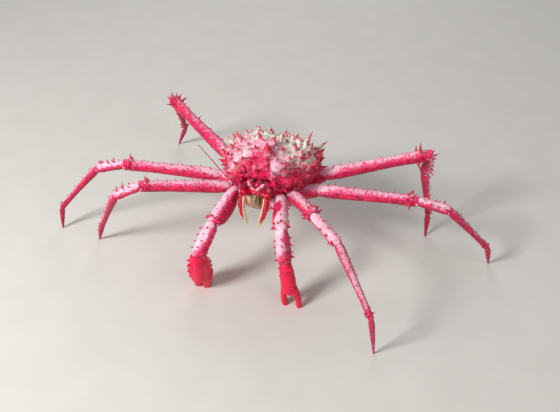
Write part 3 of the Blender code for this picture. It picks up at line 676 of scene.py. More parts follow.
class Limb:
    """The joints of one limb, and the planes where its pieces meet."""

    def __init__(self, number, side):
        self.number, self.side = number, side
        root = SWUNG_ROOTS.get((number, side), LIMB_ROOTS[number][1])
        self.kinds = CLAW_KINDS if number == 1 else LEG_KINDS
        socket, facing = thorax_face(number, side)
        self.joints = [BODY @ socket, BODY @ mirrored(root, side)]
        pose = POSES[(number, side)]
        for (azimuth, elevation), length in zip(pose, PIECE_LENGTHS[number]):
            self.joints.append(self.joints[-1] + direction(azimuth, elevation, side) * length)
        last = direction(*pose[-1], side)
        self.joints.append(self.joints[-1] + last * (self.joints[-1].z / -last.z))
        self.ways = [(b - a).normalized() for a, b in zip(self.joints, self.joints[1:])]
        self.planes = [BODY_TURN @ facing]
        for before, after in zip(self.ways, self.ways[1:]):
            self.planes.append((before + after).normalized())

    def is_last(self, index):
        return index == len(self.ways) - 1

    def middle_line(self, index, steps):
        start, end = self.joints[index], self.joints[index + 1]
        way = self.ways[index] * 2
        leaving = (way + self.planes[index]).normalized()
        arriving = (way if self.is_last(index) else way + self.planes[index + 1]).normalized()
        reach = min((end - start).length / 3, JOINT_BLEND)
        return bezier(start, start + leaving * reach, end - arriving * reach, end, steps)

    def upper_side(self, index):
        """The direction of a piece's upper side, which on an upright piece looks outwards."""
        way, out = self.ways[index], self.ways[1]
        outwards = Vector((out.x, out.y, 0)).normalized()
        helper = UP * math.sqrt(max(0.0, 1 - way.z**2)) + outwards * abs(way.z)
        side = way.cross(helper).normalized()
        return side.cross(way).normalized()

    def half(self, kind, share):
        return smooth_value(PROFILES[kind], share) * STOUTNESS[self.number] * MM


# The carapace


def carapace_surface(turn, rise):
    """Points of the level carapace from arrays of bearing and elevation in radians."""
    inward = np.abs(np.cos(rise)) ** CARAPACE_FULLNESS
    x = CARAPACE_HALF_WIDTH * inward * np.cos(turn) * (1 + CARAPACE_TAPER * np.sin(turn))
    y = CARAPACE_HALF_LENGTH * inward * np.sin(turn)
    z = np.where(rise > 0, CARAPACE_DOME, CARAPACE_FLANK) * np.sin(rise)
    upper = np.maximum(np.sin(rise), 0)
    for middle_x, middle_y, height, spread in SWELLINGS:
        away = ((x / MM - middle_x) ** 2 + (y / MM - middle_y) ** 2) / (2 * spread**2)
        z = z + height * MM * np.exp(-away) * upper
    # Grooves part the stomach, heart and gill regions of the back.
    px, py = np.abs(x) / MM, y / MM
    neck = np.exp(-((py + 3 - 0.011 * px**2 + 0.25 * px) ** 2) / 14) * (px < 48)
    sides = np.exp(-((px - 12 - 0.008 * (py - 18) ** 2) ** 2) / 10) * np.exp(-((py - 18) ** 2) / 420)
    z = z - (2.4 * neck + 2.0 * sides + HIND_SINK * np.clip((py - 2) / 30, 0, 1)) * MM * upper
    return np.stack((x, y, z), -1)


def carapace_spot(turn, rise):
    return Vector(carapace_surface(np.array(turn), np.array(rise)))


def carapace_normal(turn, rise):
    step = 0.02
    around = carapace_spot(turn + step, rise) - carapace_spot(turn - step, rise)
    upward = carapace_spot(turn, rise + step) - carapace_spot(turn, rise - step)
    return around.cross(upward).normalized()


def carapace_main_spines(scale):
    """Root, direction, length, radius and bareness of each large spine of the level carapace."""
    made = []
    chance = random.Random(5)
    for ring, (elevation, count) in enumerate(SPINE_RINGS):
        for i in range(count):
            bearing = -90 + 180 * (i + 0.5) / count + chance.uniform(-3, 3)
            lift = elevation + chance.uniform(-3, 3)
            size = chance.uniform(0.75, 1.25)
            if ring < 2 and bearing < -90 + FACE_ARC:
                continue
            for side in SIDES:
                turn = math.radians(bearing if side == "left" else 180 - bearing)
                rise = math.radians(lift)
                pointing = (carapace_normal(turn, rise) + UP * 0.3).normalized()
                length = SPINE_LENGTH * size * chance.uniform(0.92, 1.08) * CONE_SHORTNESS * MM * scale
                spot = carapace_spot(turn, rise)
                if spot.y > 8 * MM and rise > 0.5:
                    length *= HIND_SHORTNESS
                made.append((spot, pointing, length, CONE_BREADTH * SPINE_RADIUS * size**0.5 * MM, 1.0))
    for root, pointing, length, radius in BROW_SPINES:
        for side in SIDES if root.x else ("left",):
            way = mirrored(pointing, side).normalized()
            made.append((mirrored(root, side) * MM, way, length * MM * scale, radius * MM, 1.0))
    for root, pointing, length, radius, amount in TALL_CONES:
        bare = 0.45 if amount > 0 else 1.0
        made.append((root * MM, pointing.normalized(), length * MM * scale, radius * MM, bare))
    # Cones of a middle size stand between the large ones.
    own = random.Random(17)
    while len(made) < CARAPACE_CONES:
        turn, rise = own.uniform(-math.pi, math.pi), math.asin(own.uniform(-0.05, 0.98))
        spot = carapace_spot(turn, rise)
        if spot.y < FACE_WALL + 4 * MM and abs(spot.x) < FACE_HALF_WIDTH:
            continue
        way = (carapace_normal(turn, rise) + Vector([own.uniform(-0.25, 0.25) for _ in range(3)])).normalized()
        length = own.uniform(3, 6.5) * MM * scale
        made.append((spot, way, length, own.uniform(1.8, 3.2) * MM, own.uniform(0.4, 1)))
    return made


def face_window():
    """A rounded block where the face stands open under the brow."""
    low = Vector((-FACE_HALF_WIDTH, -2 * CARAPACE_HALF_LENGTH, -CARAPACE_DOME))
    high = Vector((FACE_HALF_WIDTH, FACE_WALL, FACE_CEILING))
    deselect_all()
    bpy.ops.mesh.primitive_cube_add(size=1)
    block = bpy.context.object
    block.data.transform(Matrix.Translation((low + high) / 2) @ Matrix.Diagonal((*(high - low), 1)))
    edit_all()
    bpy.ops.mesh.bevel(offset=5 * MM, segments=4, affect="EDGES")
    bpy.ops.object.mode_set(mode="OBJECT")
    block.data.transform(BODY)
    return block


def limb_sockets():
    """The first two pieces of every limb, a little thicker, and their middle lines."""
    made, lines = [], []
    for number in LIMB_ROOTS:
        for side in SIDES:
            limb = Limb(number, side)
            for index, kind in enumerate(limb.kinds[:2]):
                points = limb.middle_line(index, 12)
                total = line_length(points)
                rings = [(-3 * MM, limb.half(kind, 0) + SOCKET_ROOM)]
                rings += [(total * i / 8, limb.half(kind, i / 8) + SOCKET_ROOM) for i in range(9)]
                rings.append((total + 4 * MM, rings[-1][1]))
                socket = ringed_form("socket", rings, 20)
                lay_along(socket, points, limb.upper_side(index))
                made.append(socket)
                lines.append((points, limb.half(kind, 0.3) + SOCKET_ROOM))
    return made, lines


def subtract(piece, cutters):
    holder = bpy.data.collections.new("cutters")
    bpy.context.scene.collection.children.link(holder)
    for cutter in cutters:
        for old in list(cutter.users_collection):
            old.objects.unlink(cutter)
        holder.objects.link(cutter)
    apply_modifier(
        piece, "BOOLEAN", operation="DIFFERENCE", operand_type="COLLECTION", collection=holder, solver="EXACT"
    )
    for cutter in cutters:
        bpy.data.objects.remove(cutter, do_unlink=True)
    bpy.data.collections.remove(holder)


def is_clear(point, lines, margin):
    for points, radius in lines:
        for a, b in zip(points, points[1:]):
            share = max(0.0, min(1.0, (point - a).dot(b - a) / (b - a).length_squared))
            if (point - a.lerp(b, share)).length < radius + margin:
                return False
    return True


def carapace_lift(places, mounds):
    """How high the cones raise each point of the placed carapace."""
    lift = np.zeros(len(places))
    for root, _, length, radius, _ in mounds:
        away = np.sum((places - np.array(BODY @ root)) ** 2, axis=1)
        lift += np.exp(-away / (2 * (PAINTED_SHADE_BREADTH * radius) ** 2)) * length * CONE_FOOT
    return lift


def raised(places, mounds):
    """Lifts the shell into a broad cone under each large spine."""
    lift = np.zeros_like(places)
    for root, pointing, length, radius, _ in mounds:
        away = np.sum((places - np.array(root)) ** 2, axis=-1)
        fade = np.exp(-away / (2 * (CONE_FOOT_BREADTH * radius) ** 2))
        lift += fade[..., None] * np.array(pointing) * length * CONE_FOOT
    return places + lift


def build_carapace():
    look = looks()
    piece = ball(144, 76)
    rename(piece, "carapace_shell")
    x, y, z = coordinates(piece).T
    level = carapace_surface(np.arctan2(y, x), np.arcsin(np.clip(z, -1, 1)))
    mains = carapace_main_spines(look.spine_scale)
    set_coordinates(piece, raised(level, mains))
    piece.data.transform(BODY)
    sockets, lines = limb_sockets()
    subtract(piece, [face_window()] + sockets)
    cut_flat(piece, *placed([(UP * CARAPACE_FLOOR, -UP)])[0])
    roughen(piece, 5 * MM, look.relief * 2.2)
    roughen(piece, 1.8 * MM, look.relief)
    mark(piece, "dorsal", normals(piece)[:, 2])
    level = (coordinates(piece) - np.array(BODY.translation)) @ np.array(BODY_TURN)
    dusty, crusty = carapace_cover(level / MM)
    mark(piece, "dusty", dusty)
    mark(piece, "crusty", crusty)
    # Where painted shade falls between the cones.
    mark(piece, "hollow_shade", np.clip(1 - carapace_lift(coordinates(piece), mains) / PAINTED_SHADE_LIFT, 0, 1))
    cones, spines = Spines(), Spines()
    for root, pointing, length, radius, bare in mains:
        dusty, crusty = carapace_cover(np.array([root[:]]) / MM)
        root = Vector(raised(np.array([root[:]]), mains)[0])
        way = BODY_TURN @ pointing
        bare *= 1 - 0.6 * crusty[0]
        cones.add(BODY @ root, way, length * 0.98, radius * 1.1, way.z, 0.06, bare, dusty[0], crusty[0])
    carapace_spinules(spines, lines, mains)
    brow_fringe(spines)
    grow(piece, cones, 12)
    grow(piece, spines)
    finish_piece(piece, ["carapace"], carapace_finish())


def patched(x, y, patches):
    """How much of the patches lies at each place."""
    amounts = [
        amount * np.exp(-((x - middle_x) ** 2 + (y - middle_y) ** 2) / spread)
        for middle_x, middle_y, spread, amount in patches
    ]
    return sum(amounts)


def carapace_cover(level):
    """How dusty and how crusted the level carapace is at places in millimetres."""
    x, y, z = level.T
    # The crust sits on the hind part and on both shoulders; the brow stays clean.
    hind = np.clip((y + 14 + 0.35 * np.maximum(x, 0)) / 22, 0, 1)
    shoulders = patched(x, y, CRUST_PATCHES)
    dusty = patched(x, y, DUST_PATCHES) - 0.5 * np.clip((-y - 34) / 12, 0, 1)
    for root, pointing, length, _, amount in TALL_CONES:
        away = np.sum((level - np.array(root + pointing * length * 0.25)) ** 2, axis=1)
        dusty = dusty + amount * np.exp(-away / 130)
    # The crab's left flank is clean and crimson below the shoulder.
    flank = np.clip((26 - z) / 12, 0, 1) * np.clip((x - 30) / 10, 0, 1)
    return dusty - 0.5 * flank, np.clip(np.maximum(hind, shoulders), 0, 1) * (1 - 0.85 * flank)


def brow_fringe(spines):
    """Uneven short thorns along the edge of the brow."""
    chance = random.Random(23)
    for i in range(BROW_THORNS):
        x = (-1 + 2 * (i + chance.random()) / BROW_THORNS) * (FACE_HALF_WIDTH + 3 * MM)
        edge = -CARAPACE_HALF_LENGTH * (1 - 0.9 * (x / CARAPACE_HALF_WIDTH) ** 2) + 4 * MM
        root = Vector((x, edge, FACE_CEILING + chance.uniform(0, 3) * MM))
        way = Vector((x / CARAPACE_HALF_WIDTH * 2 + chance.uniform(-0.5, 0.5), -1, chance.uniform(-1.3, 0.4)))
        length, radius = chance.uniform(2.5, 7.5) * MM, chance.uniform(1.2, 2.4) * MM
        spines.add(BODY @ root, BODY_TURN @ way, length, radius, 0.3, 0.0, 0.9)


def carapace_spinules(spines, lines, mains):
    """Small spines all over the carapace, longer low on its flanks and clear of the limbs."""
    look = looks()
    chance = random.Random(31)
    for _ in range(int(CARAPACE_SPINULES * look.spinule_share)):
        turn = chance.uniform(-math.pi, math.pi)
        rise = math.asin(chance.uniform(-0.45, 0.97))
        root = Vector(raised(np.array([carapace_spot(turn, rise)[:]]), mains)[0])
        if abs(root.x) < FACE_HALF_WIDTH + 2 * MM and root.y < FACE_WALL + 3 * MM and root.z < FACE_CEILING + 3 * MM:
            continue
        if root.z < CARAPACE_FLOOR + 2 * MM or not is_clear(BODY @ root, lines, 1 * MM):
            continue
        low = rise < math.radians(28)
        pointing = carapace_normal(turn, rise) + UP * 0.2
        pointing += Vector([chance.uniform(-0.3, 0.3) for _ in range(3)])
        length = chance.uniform(2.0, 5.5 if low else 4.0) * MM * look.spine_scale
        way = BODY_TURN @ pointing
        thick = chance.uniform(0.7, 1.2) * MM
        bare = chance.uniform(0, 0.9)
        spines.add(BODY @ root, way, length, thick, way.normalized().z, chance.uniform(-0.1, 0.1), bare)


# The underside


def rounded_body(name, middle, half):
    piece = ball(56, 30)
    rename(piece, name)
    piece.data.transform(Matrix.Translation(middle) @ Matrix.Diagonal((*half, 1)))
    return piece


def build_thorax():
    piece = rounded_body("thorax_shell", THORAX_MIDDLE, THORAX_HALF)
    places = coordinates(piece)
    # Shallow grooves between the plates that carry each pair of legs.
    plates = np.cos(places[:, 1] / MM * 2 * math.pi / PLATE_PITCH) ** 8
    outward = unit(places - np.array(THORAX_MIDDLE))
    places = places - outward * (plates * PLATE_GROOVE)[:, None]
    share = np.clip(np.abs(places[:, 1] - THORAX_MIDDLE.y) / THORAX_HALF.y, 0, 0.95)
    fuller = np.sqrt((1 - share**4) / (1 - share**2))
    depth = places[:, 2] - THORAX_MIDDLE.z
    places[:, 2] = THORAX_MIDDLE.z + np.where(depth < 0, depth * fuller, depth)
    set_coordinates(piece, places)
    piece.data.transform(BODY)
    cuts = [
        (UP * (CARAPACE_FLOOR - GAP), UP),
        (UP * THORAX_FLOOR, -UP),
        (FORWARD * -FACE_WALL, FORWARD),
        (FORWARD * -THORAX_REAR, -FORWARD),
    ]
    cuts += [thorax_face(number, side) for number in LIMB_ROOTS for side in SIDES]
    for point, normal in placed(cuts):
        cut_flat(piece, point, normal)
    finish_piece(piece, ["thorax"], underside_finish())


def build_abdomen():
    cuts = [
        (UP * (CARAPACE_FLOOR - GAP), UP),
        (-FORWARD * (THORAX_REAR + GAP), FORWARD),
        (UP * THORAX_FLOOR, -UP),
    ]
    flap_cuts = [(UP * (THORAX_FLOOR - GAP), UP)]
    # Seams cross both parts, slanted on the base, and run along them on either side.
    for node, middle, half, planes, pitch, slant in (
        ("abdomen_base", ABDOMEN_BASE_MIDDLE, ABDOMEN_BASE_HALF, cuts, 7.5, 1),
        ("abdomen_flap", ABDOMEN_FLAP_MIDDLE, ABDOMEN_FLAP_HALF, flap_cuts, 11, 0),
    ):
        piece = rounded_body(f"{node}_shell", middle, half)
        places = coordinates(piece)
        outward = unit(places - np.array(middle))
        across = np.cos((places[:, 1] - places[:, 2] * slant) / MM * 2 * math.pi / pitch) ** 10
        seams = np.exp(-((np.abs(places[:, 0]) / MM - half.x / MM * 0.42) ** 2) / 1.5)
        set_coordinates(piece, places - outward * (np.maximum(across, seams) * SEAM_GROOVE)[:, None])
        piece.data.transform(BODY)
        for point, normal in placed(planes):
            cut_flat(piece, point, normal)
        roughen(piece, 3 * MM, looks().relief)
        finish_piece(piece, [node], underside_finish())


# The limbs


def piece_rings(limb, index, kind, total):
    """The rings of one piece of a limb, from the neck in its joint to the lip at its far end."""
    rings = []

    def ring(height, share, growth):
        rings.append((height, limb.half(kind, share) * growth * RING_GROWTH))

    if index:
        for height, growth in NECK_RINGS:
            ring(height * MM, 0, growth)
    else:
        ring(GAP / 2, 0, 0.97)
        ring(1 * MM, 0, 1)
    steps = 5 if "coxa" in kind else 11
    for i in range(1, steps):
        height = RING_INSET + (total - 2 * RING_INSET) * i / steps
        ring(height, height / total, 1)
    if limb.is_last(index):
        ring(total, 1, 1)
        ring(total + 2 * MM, 1, 0.9)
    else:
        for height, growth in LIP_RINGS:
            ring(total - height * MM, 1, growth)
    return rings


def add_keel(places, limb, index):
    """Deepens a piece along its lower inner side, most at its middle."""
    start, way = limb.joints[index], limb.ways[index]
    length = (limb.joints[index + 1] - start).length
    inner = mirrored((-0.6, 0, 0), limb.side) - limb.upper_side(index) * 0.8
    keel = np.array((inner - way * inner.dot(way)).normalized())
    share = (places - np.array(start)) @ np.array(way) / length
    depth = (places - np.array(start)) @ keel
    wanted = (depth > 0) & (share > 0) & (share < 1)
    return places + keel * np.where(wanted, depth * KEEL * np.sin(math.pi * np.clip(share, 0, 1)), 0)[:, None]


def limb_spot(limb, index, kind, share, angle):
    """The foot of a spine at that share of a piece's length and angle round it, and its way out."""
    middle = limb.joints[index].lerp(limb.joints[index + 1], share)
    way, upper = limb.ways[index], limb.upper_side(index)
    out = upper * math.cos(math.radians(angle)) + way.cross(upper) * math.sin(math.radians(angle))
    return middle + out * limb.half(kind, share) * SPINE_FOOT, out


def limb_spines(limb, index, kind, spines, chance):
    """The main spines, drawn in the same order as in the part's source."""
    scale = looks().spine_scale

    def plant(share, angle, length, radius, lean):
        base, out = limb_spot(limb, index, kind, share, angle)
        way = out + limb.ways[index] * lean
        spines.add(base, way, length * MM * scale, radius * 1.12 * MM, math.cos(math.radians(angle)), 0.05)

    rows, count, (low, high), length, radius = SPINE_ROWS[kind]
    for angle, shift in rows:
        for i in range(count):
            share = low + (high - low) * min(1, (i + shift) / max(1, count - 0.5))
            turned = angle + chance.uniform(-9, 9)
            plant(share, turned, length * chance.uniform(0.75, 1.25), radius, ROW_LEAN)
    if kind == "carpus" and limb.number == 4:
        for angle, length in KNEE_FAN:
            plant(KNEE_FAN_PLACE, angle, length, KNEE_FAN_RADIUS, KNEE_FAN_LEAN)
    if kind in CROWNS:
        length, radius = CROWNS[kind]
        for angle in CROWN_ANGLES:
            turned = angle + chance.uniform(-5, 5)
            grown = length * CROWN_GROWTH[limb.number] * chance.uniform(0.8, 1.1)
            if "claw" in kind:
                grown *= 0.75
            plant(CROWN_PLACE, turned, grown, radius, CROWN_LEAN)
        own = random.Random(f"crown {limb.number} {limb.side} {kind}")
        wide = 1.1 if "claw" in kind else 1.2
        for angle, share in CROWN_FILLERS:
            grown = length * CROWN_GROWTH[limb.number] * share * wide * own.uniform(0.85, 1.15)
            plant(CROWN_PLACE - 0.06 * own.random(), angle + own.uniform(-6, 6), grown, radius * wide, CROWN_LEAN)


def limb_spinules(limb, index, kind, spines, chance):
    """Small spines scattered over the upper side and the flanks of a piece."""
    count, span, short, long = SPINULES[kind]
    for _ in range(int(count * looks().spinule_share)):
        share = chance.uniform(0.06, 0.95)
        angle = chance.triangular(-span, span, 0)
        base, out = limb_spot(limb, index, kind, share, angle)
        way = out + limb.ways[index] * chance.uniform(-0.1, 0.5)
        length = chance.uniform(short, long) * MM * looks().spine_scale
        radius = (0.35 + 0.16 * length / MM) * MM
        spines.add(base, way, length, radius, math.cos(math.radians(angle)), chance.uniform(-0.1, 0.1), 0.4)


def coxa_clearances(number, side):
    """Cuts that keep a coxa apart from the coxae beside it."""
    cuts = []
    for other in (number - 1, number + 1):
        if other in LIMB_ROOTS:
            inner = (LIMB_ROOTS[number][0] + LIMB_ROOTS[other][0]) / 2
            outer = (LIMB_ROOTS[number][1] + LIMB_ROOTS[other][1]) / 2
            normal = (outer - inner).cross(UP).normalized()
            if normal.dot(LIMB_ROOTS[other][0] - LIMB_ROOTS[number][0]) < 0:
                normal = -normal
            cuts.append((mirrored(inner - normal * GAP / 2, side), mirrored(normal, side)))
    return placed(cuts)


def dusting(kind, along):
    """How much dust lies along a piece: its foot is bleached and its far lip clean."""
    dust = np.full(len(along), DUSTING[kind])
    for amount, start, span in DUST_FADES.get(kind, ()):
        dust += amount * np.clip((along - start) / span, 0, 1)
    return dust


def build_limb_piece(limb, index, kind, node, chance):
    points = limb.middle_line(index, LINE_STEPS)
    piece = ringed_form(f"{node}_shell", piece_rings(limb, index, kind, line_length(points)))
    subdivide(piece)
    last = limb.is_last(index)
    along = coordinates(piece)[:, 2] / line_length(points)
    lay_along(piece, points, limb.upper_side(index), limb.planes[index], None if last else limb.planes[index + 1])
    if kind == "claw_merus":
        set_coordinates(piece, add_keel(coordinates(piece), limb, index))
    dust = dusting(kind, along)
    facing = normals(piece) @ np.array(CLAW_DUST_AND_LIGHT_WAY.normalized())
    # On the claws the pale side follows the key light: dust with a painted light where they face it, painted shade
    # where they turn away.
    if kind == "claw_carpus" or (kind == "claw_merus" and limb.side == "right"):
        mark(piece, "dorsal", np.maximum(facing, -0.2 if "carpus" in kind else -0.6))
    elif kind == "claw_merus":
        # A bare crimson patch on the crab's right of the left merus.
        dust = dust - 1.6 * np.exp(-(((along - 0.42) / 0.2) ** 2)) * np.clip(1.4 * facing - 0.2, 0, 1) + 0.2
    # Painted shade: below the knees of the fourth legs more dust dulls them.
    if limb.number == 4 and kind in ("carpus", "propodus"):
        dust = dust + KNEE_SHADE_DUST
    else:
        dust = dust + LEG_DUST.get((limb.number, limb.side), 0)
    mark(piece, "dusty", dust)
    if index:
        roughen(piece, 4 * MM, looks().relief)
    thorns, spines = Spines(), Spines()
    if kind in SPINE_ROWS:
        limb_spines(limb, index, kind, thorns, chance)
    limb_spinules(limb, index, kind, spines, random.Random(f"small {node}"))
    grow(piece, thorns, 10)
    grow(piece, spines)
    if index == 0:
        for cut in coxa_clearances(limb.number, limb.side):
            cut_flat(piece, *cut)
    elif not last:
        size = limb.half(kind, 1)
        side = limb.ways[index].cross(limb.upper_side(index))
        place = limb.joints[index + 1] - limb.ways[index] * 1.2 * MM
        half = Vector((1, 1, 0.8)) * size * 0.27
        join_to(piece, [knuckle(place + side * sign * size * 0.86, half, side) for sign in (-1, 1)])
    if last:
        cut_flat(piece, Vector((0, 0, 0)), -UP)
    lower = kind in ("propodus", "dactylus")
    finish_piece(piece, [node], lower_leg_finish() if lower else leg_finish())


def build_walking_leg(number, side):
    limb = Limb(number, side)
    chance = random.Random(f"leg {number} {side}")
    for index, kind in enumerate(LEG_KINDS):
        build_limb_piece(limb, index, kind, f"leg_{number}_{side}_{kind}", chance)


def finger_radius(thickness, share):
    return thickness * (1 - (1 - FINGER_TIP) * share**1.6)


def claw_finger(name, root, lead, tip, thickness, upper):
    """A curved finger that tapers to a blunt tip and runs on through the floor."""
    points = bezier(root, (root + lead) / 2, lead, tip, LINE_STEPS)
    total = line_length(points)
    rings = []
    for i in range(13):
        share = i / 12
        radius = finger_radius(thickness, share) * RING_GROWTH
        rings.append((total * share, radius * CLAW_DEPTH * (1 + 0.5 * (1 - share) ** 1.5), radius))
    rings.append((total + 3 * MM, rings[-1][1], rings[-1][2]))
    piece = ringed_form(name, rings)
    subdivide(piece)
    lay_along(piece, points, upper)
    return piece, points


def finger_granules(spines, points, thickness, upper, chance, start):
    """Blunt grains over a finger, densest towards its tip."""
    total = line_length(points)
    for _ in range(int(FINGER_GRANULES * looks().spinule_share)):
        share = start + (1 - start) * chance.random() ** 0.8 * 0.97
        middle, way, up, across = frames(points, upper, np.array([share * total]))
        turn = chance.uniform(-math.pi, math.pi)
        out = Vector(up[0]) * math.cos(turn) * CLAW_DEPTH + Vector(across[0]) * math.sin(turn)
        base = Vector(middle[0]) + out * finger_radius(thickness, share) * 0.95
        length = chance.uniform(0.7, 1.5) * MM
        spines.add(base, out + Vector(way[0]) * 0.2, length, 0.75 * MM, math.cos(turn))


def build_claw_hand(limb, chance):
    """The palm with its fixed outer finger, and the moving inner finger on its own."""
    base_radius, palm_radius, palm_share, spread, thickness = CLAWS[limb.side]
    thickness *= FINGER_FULLNESS[limb.side]
    start, tip = limb.joints[3], limb.joints[4]
    way, upper = limb.ways[3], limb.upper_side(3)
    inwards = mirrored((-1, 0, 0), limb.side)
    across = (inwards - way * inwards.dot(way)).normalized()
    length = (tip - start).length
    palm_length = length * palm_share
    palm_end = start + way * palm_length
    stretch = Matrix.Translation(start) @ Matrix.Scale(CLAW_DEPTH, 4, upper) @ Matrix.Translation(-start)
    node = f"claw_{limb.side}"

    def palm_half(share):
        return base_radius + (palm_radius - base_radius) * math.sin(math.pi / 2 * min(1, share * 1.5))

    rings = []
    for height, growth in CLAW_NECK_RINGS:
        radius = base_radius * growth * RING_GROWTH
        rings.append((height * MM, radius * CLAW_DEPTH, radius))
    for share in PALM_RINGS:
        radius = palm_half(share) * RING_GROWTH
        rings.append((palm_length * share, radius * CLAW_DEPTH, radius))
    end = palm_length + palm_radius * 0.7
    rings.append((palm_length + palm_radius * 0.35, palm_radius * 0.94 * CLAW_DEPTH, palm_radius * 0.94))
    rings.append((end, palm_radius * 0.66 * CLAW_DEPTH, palm_radius * 0.66))
    palm = ringed_form(f"{node}_palm_shell", rings)
    subdivide(palm)
    outer_end = palm_end + way * palm_radius * 0.7 - across * palm_radius * 0.25
    line = [start, start + way * palm_length * 0.5, start + way * palm_length * 0.95, outer_end]
    lay_along(palm, line, upper, limb.planes[3])

    socket = palm_end + across * palm_radius * FINGER_SPREAD
    ahead = (way + across * 0.5).normalized()
    cut_flat(palm, socket - ahead * GAP / 2, ahead)
    fingers = []
    for sign, name in ((-1, "finger"), (1, f"{node}_dactylus_shell")):
        root = palm_end + (across * sign * FINGER_SPREAD - way * FINGER_ROOT) * palm_radius
        far = tip + across * sign * spread / 2 * FINGER_CLOSING[limb.side]
        far.z = 0
        lead = far - way * (far - palm_end).dot(way) * 0.55 + across * sign * 1.6 * MM
        fingers.append(claw_finger(name, root, lead, far, thickness, upper))
    (fixed, fixed_line), (moving, moving_line) = fingers
    join_to(palm, [fixed])
    apply_modifier(palm, "REMESH", mode="VOXEL", voxel_size=PALM_VOXEL)
    apply_modifier(palm, "SMOOTH", factor=0.5, iterations=6)
    floor = (Vector((0, 0, 0)), -UP)
    small = random.Random(f"small {node}")
    spines, grains = Spines(), Spines()
    size, radius = PALM_SPINE
    for share in PALM_SPINE_SHARES:
        for angle in PALM_SPINE_ANGLES:
            turn = math.radians(angle + chance.uniform(-8, 8))
            out = upper * math.cos(turn) + across * math.sin(turn)
            at = start + way * palm_length * (share + chance.uniform(-0.05, 0.05))
            grown = size * chance.uniform(0.75, 1.2) * 0.75 * MM * looks().spine_scale
            base = stretch @ (at + out * (palm_radius - 1.2 * MM))
            spines.add(base, out + way * 0.3, grown, radius * 1.1 * MM, math.cos(turn))
    for _ in range(int(PALM_SPINULES * looks().spinule_share)):
        turn = small.uniform(-math.pi, math.pi)
        out = upper * math.cos(turn) + across * math.sin(turn)
        share = small.uniform(0.08, 0.95)
        base = stretch @ (start + way * palm_length * share + out * palm_half(share) * 0.95)
        spines.add(base, out + way * 0.3, small.uniform(0.8, 2.4) * MM, 0.75 * MM, math.cos(turn))
    finger_granules(spines, fixed_line, thickness, upper, small, 0.3)
    finger_granules(grains, moving_line, thickness, upper, small, 0.25)
    for piece, planted, finger_node in ((palm, spines, f"{node}_palm"), (moving, grains, f"{node}_dactylus")):
        if piece is moving:
            cut_flat(piece, socket + ahead * GAP / 2, -ahead)
        places = coordinates(piece) - np.array(start)
        high = (places @ np.array(upper)) / (palm_radius * CLAW_DEPTH)
        roughen(piece, 3.5 * MM, looks().relief)
        mark(piece, "dorsal", np.clip(high, -1, 1))
        mark(piece, "dusty", -0.2 * np.clip(places @ np.array(way) / length, 0, 1))
        grow(piece, planted)
        cut_flat(piece, *floor)
        finish_piece(piece, [finger_node], claw_finish())


def build_claw_limb(side):
    limb = Limb(1, side)
    chance = random.Random(f"claw {side}")
    for index, kind in enumerate(CLAW_KINDS):
        build_limb_piece(limb, index, kind, kind.replace("claw", f"claw_{side}"), chance)
    build_claw_hand(limb, chance)


# The face


def face_line(name, side):
    points = [mirrored(point, side) * MM for point in FACE_TUBES[name][0]]
    return [BODY @ point for point in bezier(*points, LINE_STEPS)]


def face_tube(name, side, swellings, gap_start=0.0, gap_end=0.0):
    """A curved, jointed tube of the face; swellings are the shares where its joints bulge."""
    points = face_line(name, side)
    total = line_length(points)
    sizes = FACE_TUBES[name][1]
    pairs = [(i / (len(sizes) - 1), size) for i, size in enumerate(sizes)]
    fullness = MOUTH_LIMB_FULLNESS if "maxilliped" in name else FEELER_FULLNESS
    rings = []
    steps = 18
    for i in range(steps + 1):
        share = i / steps
        bulge = sum(0.22 * math.exp(-(((share - at) / 0.05) ** 2)) for at in swellings)
        waist = sum(0.16 * math.exp(-(((share - at - 0.09) / 0.03) ** 2)) for at in swellings)
        radius = smooth_value(pairs, share) * (1 + bulge - waist) * fullness * MM
        rings.append((gap_start + (total - gap_start - gap_end) * share, radius))
    piece = ringed_form(f"{name}_{side}_form", rings, 10)
    subdivide(piece, 1)
    lay_along(piece, points, UP)
    return piece, points


def bump_template():
    """A smooth low bump."""
    rings = ((-0.2, 1), (0.1, 1), (0.45, 0.88), (0.75, 0.62), (0.94, 0.3), (1, 0.1))
    return ringed_form("bump", rings, 10, pointed=True)


